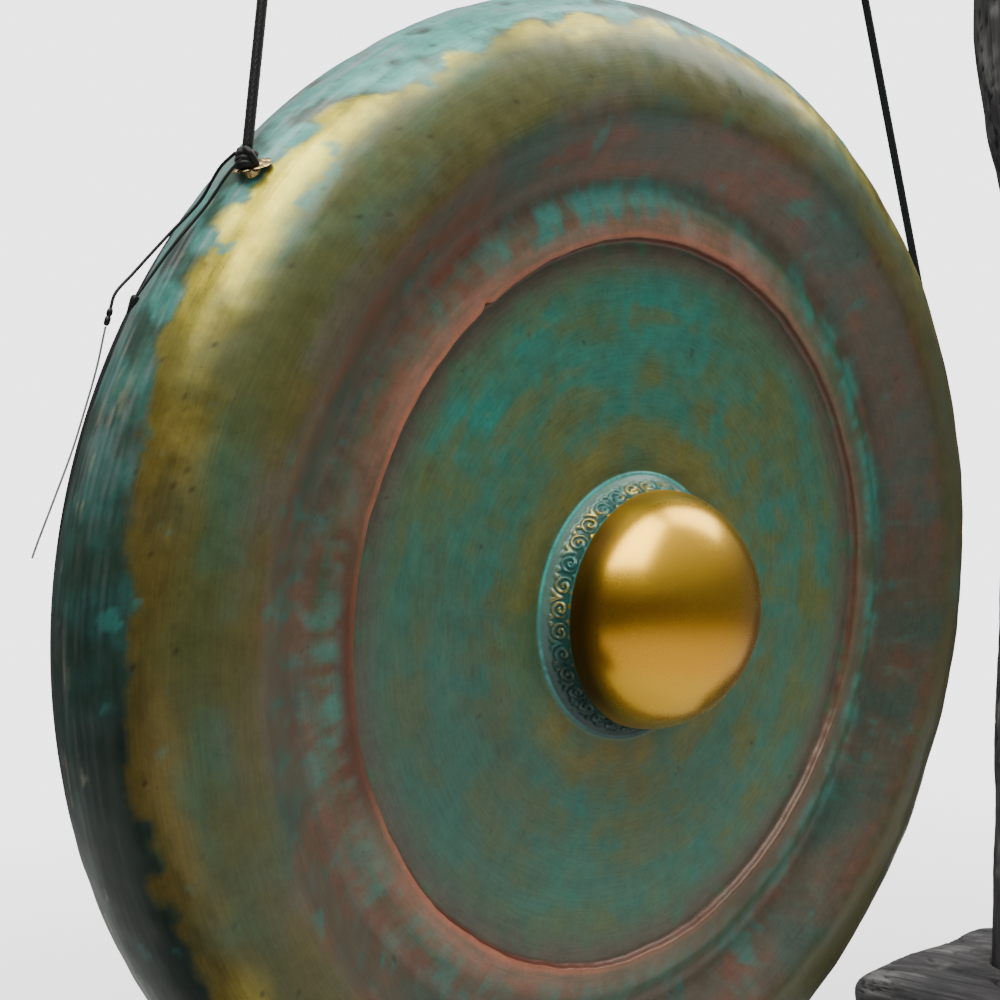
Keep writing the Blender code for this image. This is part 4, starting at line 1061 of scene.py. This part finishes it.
def eyelet(name, side, node):
    normal, hole = rim_axes(side)
    # the collar is pulled askew by its cord
    pull = (normal * 0.50 + Vector((0, 0, 1)) * 0.50).normalized()
    turn = pull.to_track_quat("Z", "Y").to_matrix()
    hole = hole + normal * 0.0010
    cols = 96
    # inner barrel, rolled lip, petals turned down on the sheet, underside, outer barrel
    prof = [(0.0019, -0.0032, 0), (0.0019, 0.0002, 0), (0.0020, 0.0008, 0), (0.0024, 0.00125, 0), (0.0030, 0.00130, 0.1),
            (0.0036, 0.00110, 0.5), (0.0044, 0.00085, 1), (0.0052, 0.00075, 1), (0.0058, 0.00055, 1), (0.0060, 0.00035, 1),
            (0.0058, 0.00020, 1), (0.0050, 0.00022, 1), (0.0040, 0.00024, 0.5), (0.0030, 0.00020, 0), (0.0029, -0.0032, 0)]
    verts = []
    for r, z, petal in prof:
        for j in range(cols):
            a = 2 * math.pi * j / cols
            lobe = abs(math.cos(4.0 * a))
            rr = r - petal * 0.0011 * (1 - lobe**0.6)
            zz = z - petal * 0.00018 * (1 - lobe) + petal * 0.00022 * math.sin(3 * a + side)
            verts.append(hole + turn @ Vector((rr * math.cos(a), rr * math.sin(a), max(zz, -0.0040))))
    o = mesh_object(name, verts, grid_faces(len(prof), cols, close_rows=True), BRASS, 50)
    outward(o)
    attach(o, "gong")
    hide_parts(node)


# ------------------------------------------------------------------ cords and their knots
def helix(p, axis, radius, rise, turns, start=0.0, steps=26, squash=1.0):
    turn = Vector(axis).normalized().to_track_quat("Z", "Y").to_matrix()
    pts = []
    n_ = int(steps * turns) + 1
    for i in range(n_):
        s = i / (n_ - 1)
        a = start + 2 * math.pi * turns * s
        pts.append(Vector(p) + turn @ Vector((radius * math.cos(a), squash * radius * math.sin(a), rise * (s - 0.5))))
    return pts


for side, word, bar_x in ((-1, "left", LASHING_X[0]), (1, "right", LASHING_X[1])):
    normal, hole = rim_axes(side)
    low = hole + normal * KNOT_LIFT
    high = Vector((bar_x, 0, BAR_PIVOT_HEIGHT))
    along = (high - low).normalized()
    eyelet("scalloped_%s_eyelet" % word, side, word + "_rim_eyelet")

    # the long straight braid, from inside one knot to inside the other
    a, e = low + along * 0.0016, high - along * 0.0016
    cord = mesh_object("braided_%s_cord" % word, *braid([a.lerp(e, i / 6) for i in range(7)], CORD_RADIUS, 0.00045), BRAID)
    outward(cord)
    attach(cord, "cords")
    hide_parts(word + "_hanging_cord")

    # rim knot: tight turns round the cord, close above the collar, and one strand tucked across them
    cross = along.cross(Vector((0, 1, 0))).normalized()
    foot_ = low - along * 0.0006
    parts = [braid(helix(foot_, along, 0.0021, 0.0046, 3.1, 0.4, 26), 0.00125, 0.0006, 20),
             braid([foot_ + along * 0.0026 + cross * 0.0024 - Vector((0, 0.0012, 0)), foot_ + along * 0.0008 + cross * 0.0010 - Vector((0, 0.0031, 0)),
                    foot_ - along * 0.0014 - cross * 0.0012 - Vector((0, 0.0030, 0)), foot_ - along * 0.0028 - cross * 0.0026 - Vector((0, 0.0008, 0))], 0.00115, 0.0006, 20),
             braid([low + along * 0.0020, low - along * 0.0022 - normal * 0.0004, hole + normal * 0.0014, hole - normal * 0.0004], 0.0020, 0.0006, 20)]
    knot = mesh_object("tied_%s_rim_knot" % word, *merge(parts), BRAID)
    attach(knot, "cords")
    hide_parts(word + "_rim_knot")

    # bar knot, right under the lashing
    parts = [braid(helix(high, along, 0.0023, 0.0044, 2.2, 2.0, 26), 0.00145, 0.0006, 20),
             braid([high - along * 0.0018, high + along * 0.0034], 0.0015, 0.0006, 20)]
    knot = mesh_object("tied_%s_bar_knot" % word, *merge(parts), BRAID)
    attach(knot, "cords")
    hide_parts(word + "_bar_knot")

    # lashing: four turns side by side round the bar and one laid over them
    mid = Vector((bar_x, 0, BAR_HEIGHT))
    parts = [braid(helix(mid, (1, 0, 0), BAR_RADIUS + 0.0018, 0.0102, 4.0, 0.3, 64), 0.0016, 0.0007, 18)]
    turn = Vector((1, 0, 0)).to_track_quat("Z", "Y").to_matrix()
    over = []
    for i in range(60):
        s = i / 59
        ang = -0.35 + 1.9 * s
        over.append(mid + turn @ Vector(((BAR_RADIUS + 0.0040) * math.cos(ang), (BAR_RADIUS + 0.0040) * math.sin(ang), -0.0054 + 0.0108 * s)))
    parts.append(braid(over, 0.0014, 0.0007, 18))
    lash = mesh_object("wound_%s_lashing" % word, *merge(parts), BRAID)
    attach(lash, "stand")
    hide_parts(word + "_bar_lashing")

    # stopper knot in the hollow
    stop = hole - normal * (SHEET_AT_FACE + 0.0009 + 0.0006 + 0.0002 + 0.0003 + 0.0042)
    cr = normal.orthogonal().normalized()
    parts = [braid(helix(stop, normal, 0.0026, 0.0040, 2.1, 0.9, 26), 0.0015, 0.0006, 20),
             braid([stop + normal * 0.0092, stop + normal * 0.0040, stop, stop - normal * 0.0030 + cr * 0.0018, stop - normal * 0.0036 + cr * 0.0050], 0.0015, 0.0006, 20)]
    o = mesh_object("tied_%s_stopper" % word, *merge(parts), BRAID)
    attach(o, "gong")
    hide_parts(word + "_stopper_knot")


# ------------------------------------------------------------------ tag string
def rim_point(angle_deg, radius, depth):
    a = math.radians(angle_deg)
    return CENTRE + HANG @ Vector((-radius * math.sin(a), depth, radius * math.cos(a)))


def rim_path(stations, count):
    return [rim_point(a, r, d) for a, r, d in through(stations, count)]


def strand(name, points, radius, mat, node):
    cu = bpy.data.curves.new(name, "CURVE")
    cu.dimensions = "3D"
    sp = cu.splines.new("POLY")
    sp.points.add(len(points) - 1)
    for q, p in zip(sp.points, points):
        q.co = (*p, 1.0)
    cu.bevel_depth, cu.bevel_resolution, cu.use_fill_caps = radius, 4, True
    cu.materials.append(mat)
    o = bpy.data.objects.new(name, cu)
    bpy.context.scene.collection.objects.link(o)
    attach(o, "gong")
    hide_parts(node)
    return o


def along_rim(name, rows, mat, node, a0, a1, r0, r1, depth, cols=20):
    """A small lofted piece on a string: rows of (distance along, half width, half thickness)."""
    p, q = rim_point(a0, r0, depth), rim_point(a1, r1, depth)
    turn = (q - p).to_track_quat("Z", "Y").to_matrix()
    verts = []
    for z, hw, ht in rows:
        for j in range(cols):
            a = 2 * math.pi * j / cols
            c_, s_ = math.cos(a), math.sin(a)
            k = (abs(c_) ** 3 + abs(s_) ** 3) ** (-1 / 3)
            verts.append(p + turn @ Vector((hw * c_ * k, ht * s_ * k, z)))
    faces = grid_faces(len(rows), cols)
    faces += [tuple(range(cols))[::-1], tuple((len(rows) - 1) * cols + j for j in range(cols))]
    o = mesh_object(name, verts, faces, mat, 45)
    outward(o)
    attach(o, "gong")
    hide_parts(node)
    return o


CLEAR = GONG_RADIUS + STRING_RADIUS + 0.0006
clip = along_rim("tag_clasp", [(0.0004, 0.0004, 0.0004), (0.0006, 0.0007, 0.0006), (0.0012, 0.0010, 0.0008), (0.0022, 0.0010, 0.0008), (0.0025, 0.0007, 0.0006),
                               (0.0029, 0.0007, 0.0006), (0.0032, 0.0010, 0.0008), (0.0046, 0.0010, 0.0008), (0.0052, 0.0007, 0.0006), (0.0054, 0.0004, 0.0004)],
                 TAGPLASTIC, "tag_clip", 72.35, 73.9, CLEAR + 0.0057, CLEAR + 0.0048, 0.0290)
barb = along_rim("tag_barb_point", [(0.0004, 0.0006, 0.0006), (0.0007, 0.0012, 0.0010), (0.0011, 0.0014, 0.0011), (0.0020, 0.0013, 0.0010), (0.0032, 0.0010, 0.0008),
                                    (0.0046, 0.0006, 0.0005), (0.0058, 0.0003, 0.0003), (0.0062, 0.00012, 0.00012)],
                 TAGPLASTIC, "tag_barb", 70.65, 72.2, CLEAR + 0.0018, CLEAR + 0.0020, 0.0262)
strand("tag_string_upper", rim_path([(57.7, CLEAR + 0.0052, 0.0150), (58.9, CLEAR + 0.0042, 0.0190), (61.5, CLEAR + 0.0010, 0.0235), (65.0, CLEAR + 0.0016, 0.0270),
                                     (69.0, CLEAR + 0.0040, 0.0290), (71.3, CLEAR + 0.0062, 0.0292), (72.5, CLEAR + 0.00565, 0.0290)], 44),
       STRING_RADIUS, STRING, "tag_string_long")
strand("tag_string_lower", rim_path([(57.8, CLEAR + 0.0038, 0.0122), (59.2, CLEAR + 0.0030, 0.0150), (62.0, CLEAR + 0.0006, 0.0195), (66.0, CLEAR + 0.0006, 0.0235),
                                     (69.0, CLEAR + 0.0010, 0.0255), (70.8, CLEAR + 0.0017, 0.0262)], 40),
       STRING_RADIUS, STRING, "tag_string_short")
strand("tag_nylon_tail", rim_path([(73.9, CLEAR + 0.0048, 0.0290), (77.0, CLEAR + 0.0026, 0.0292), (80.5, CLEAR + 0.0020, 0.0290),
                                   (84.0, CLEAR + 0.0030, 0.0280), (88.0, CLEAR + 0.0062, 0.0265), (92.0, CLEAR + 0.0105, 0.0250)], 40),
       FILAMENT_RADIUS, NYLON, "tag_filament")

# ------------------------------------------------------------------ kept CAD nodes: only their materials
for word in ("left", "right"):
    for node, mat in ((word + "_eyelet_washer", BRASS), (word + "_bar_peg", PEG), (word + "_foot_screw", STEEL),
                      (word + "_front_pad", FELT), (word + "_back_pad", FELT)):
        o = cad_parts[node]
        if not o.data.materials:
            o.data.materials.append(mat)
        for k in range(len(o.material_slots)):
            o.material_slots[k].material = mat

# ------------------------------------------------------------------ floor
fl = mesh_object("floor", [(3.2 * math.cos(2 * math.pi * j / 96), 3.2 * math.sin(2 * math.pi * j / 96), -0.0004) for j in range(96)], [tuple(range(96))])
m, n, b, links = material("pale_floor")
obj = n.add("TexCoord", out=3)
dist = n.add("VectorMath", out=1, i0=obj, props={"operation": "LENGTH"})
links.new(n.ramp(n.noise(obj, 60.0, 3.0), [(0.3, (0.80, 0.80, 0.815)), (0.7, (0.83, 0.83, 0.845))]), b.inputs["Base Color"])
b.inputs["Roughness"].default_value = 0.8
b.inputs["Specular IOR Level"].default_value = 0.1
clear = m.node_tree.nodes.new("ShaderNodeBsdfTransparent")
mixs = m.node_tree.nodes.new("ShaderNodeMixShader")
links.new(n.ramp(n.math("DIVIDE", dist, 3.2), [(0.07, 0.50), (0.34, 1.0)], "EASE"), mixs.inputs[0])
links.new(b.outputs[0], mixs.inputs[1])
links.new(clear.outputs[0], mixs.inputs[2])
links.new(mixs.outputs[0], m.node_tree.nodes["Material Output"].inputs[0])
fl.data.materials.append(m)
fl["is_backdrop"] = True

lo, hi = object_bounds()
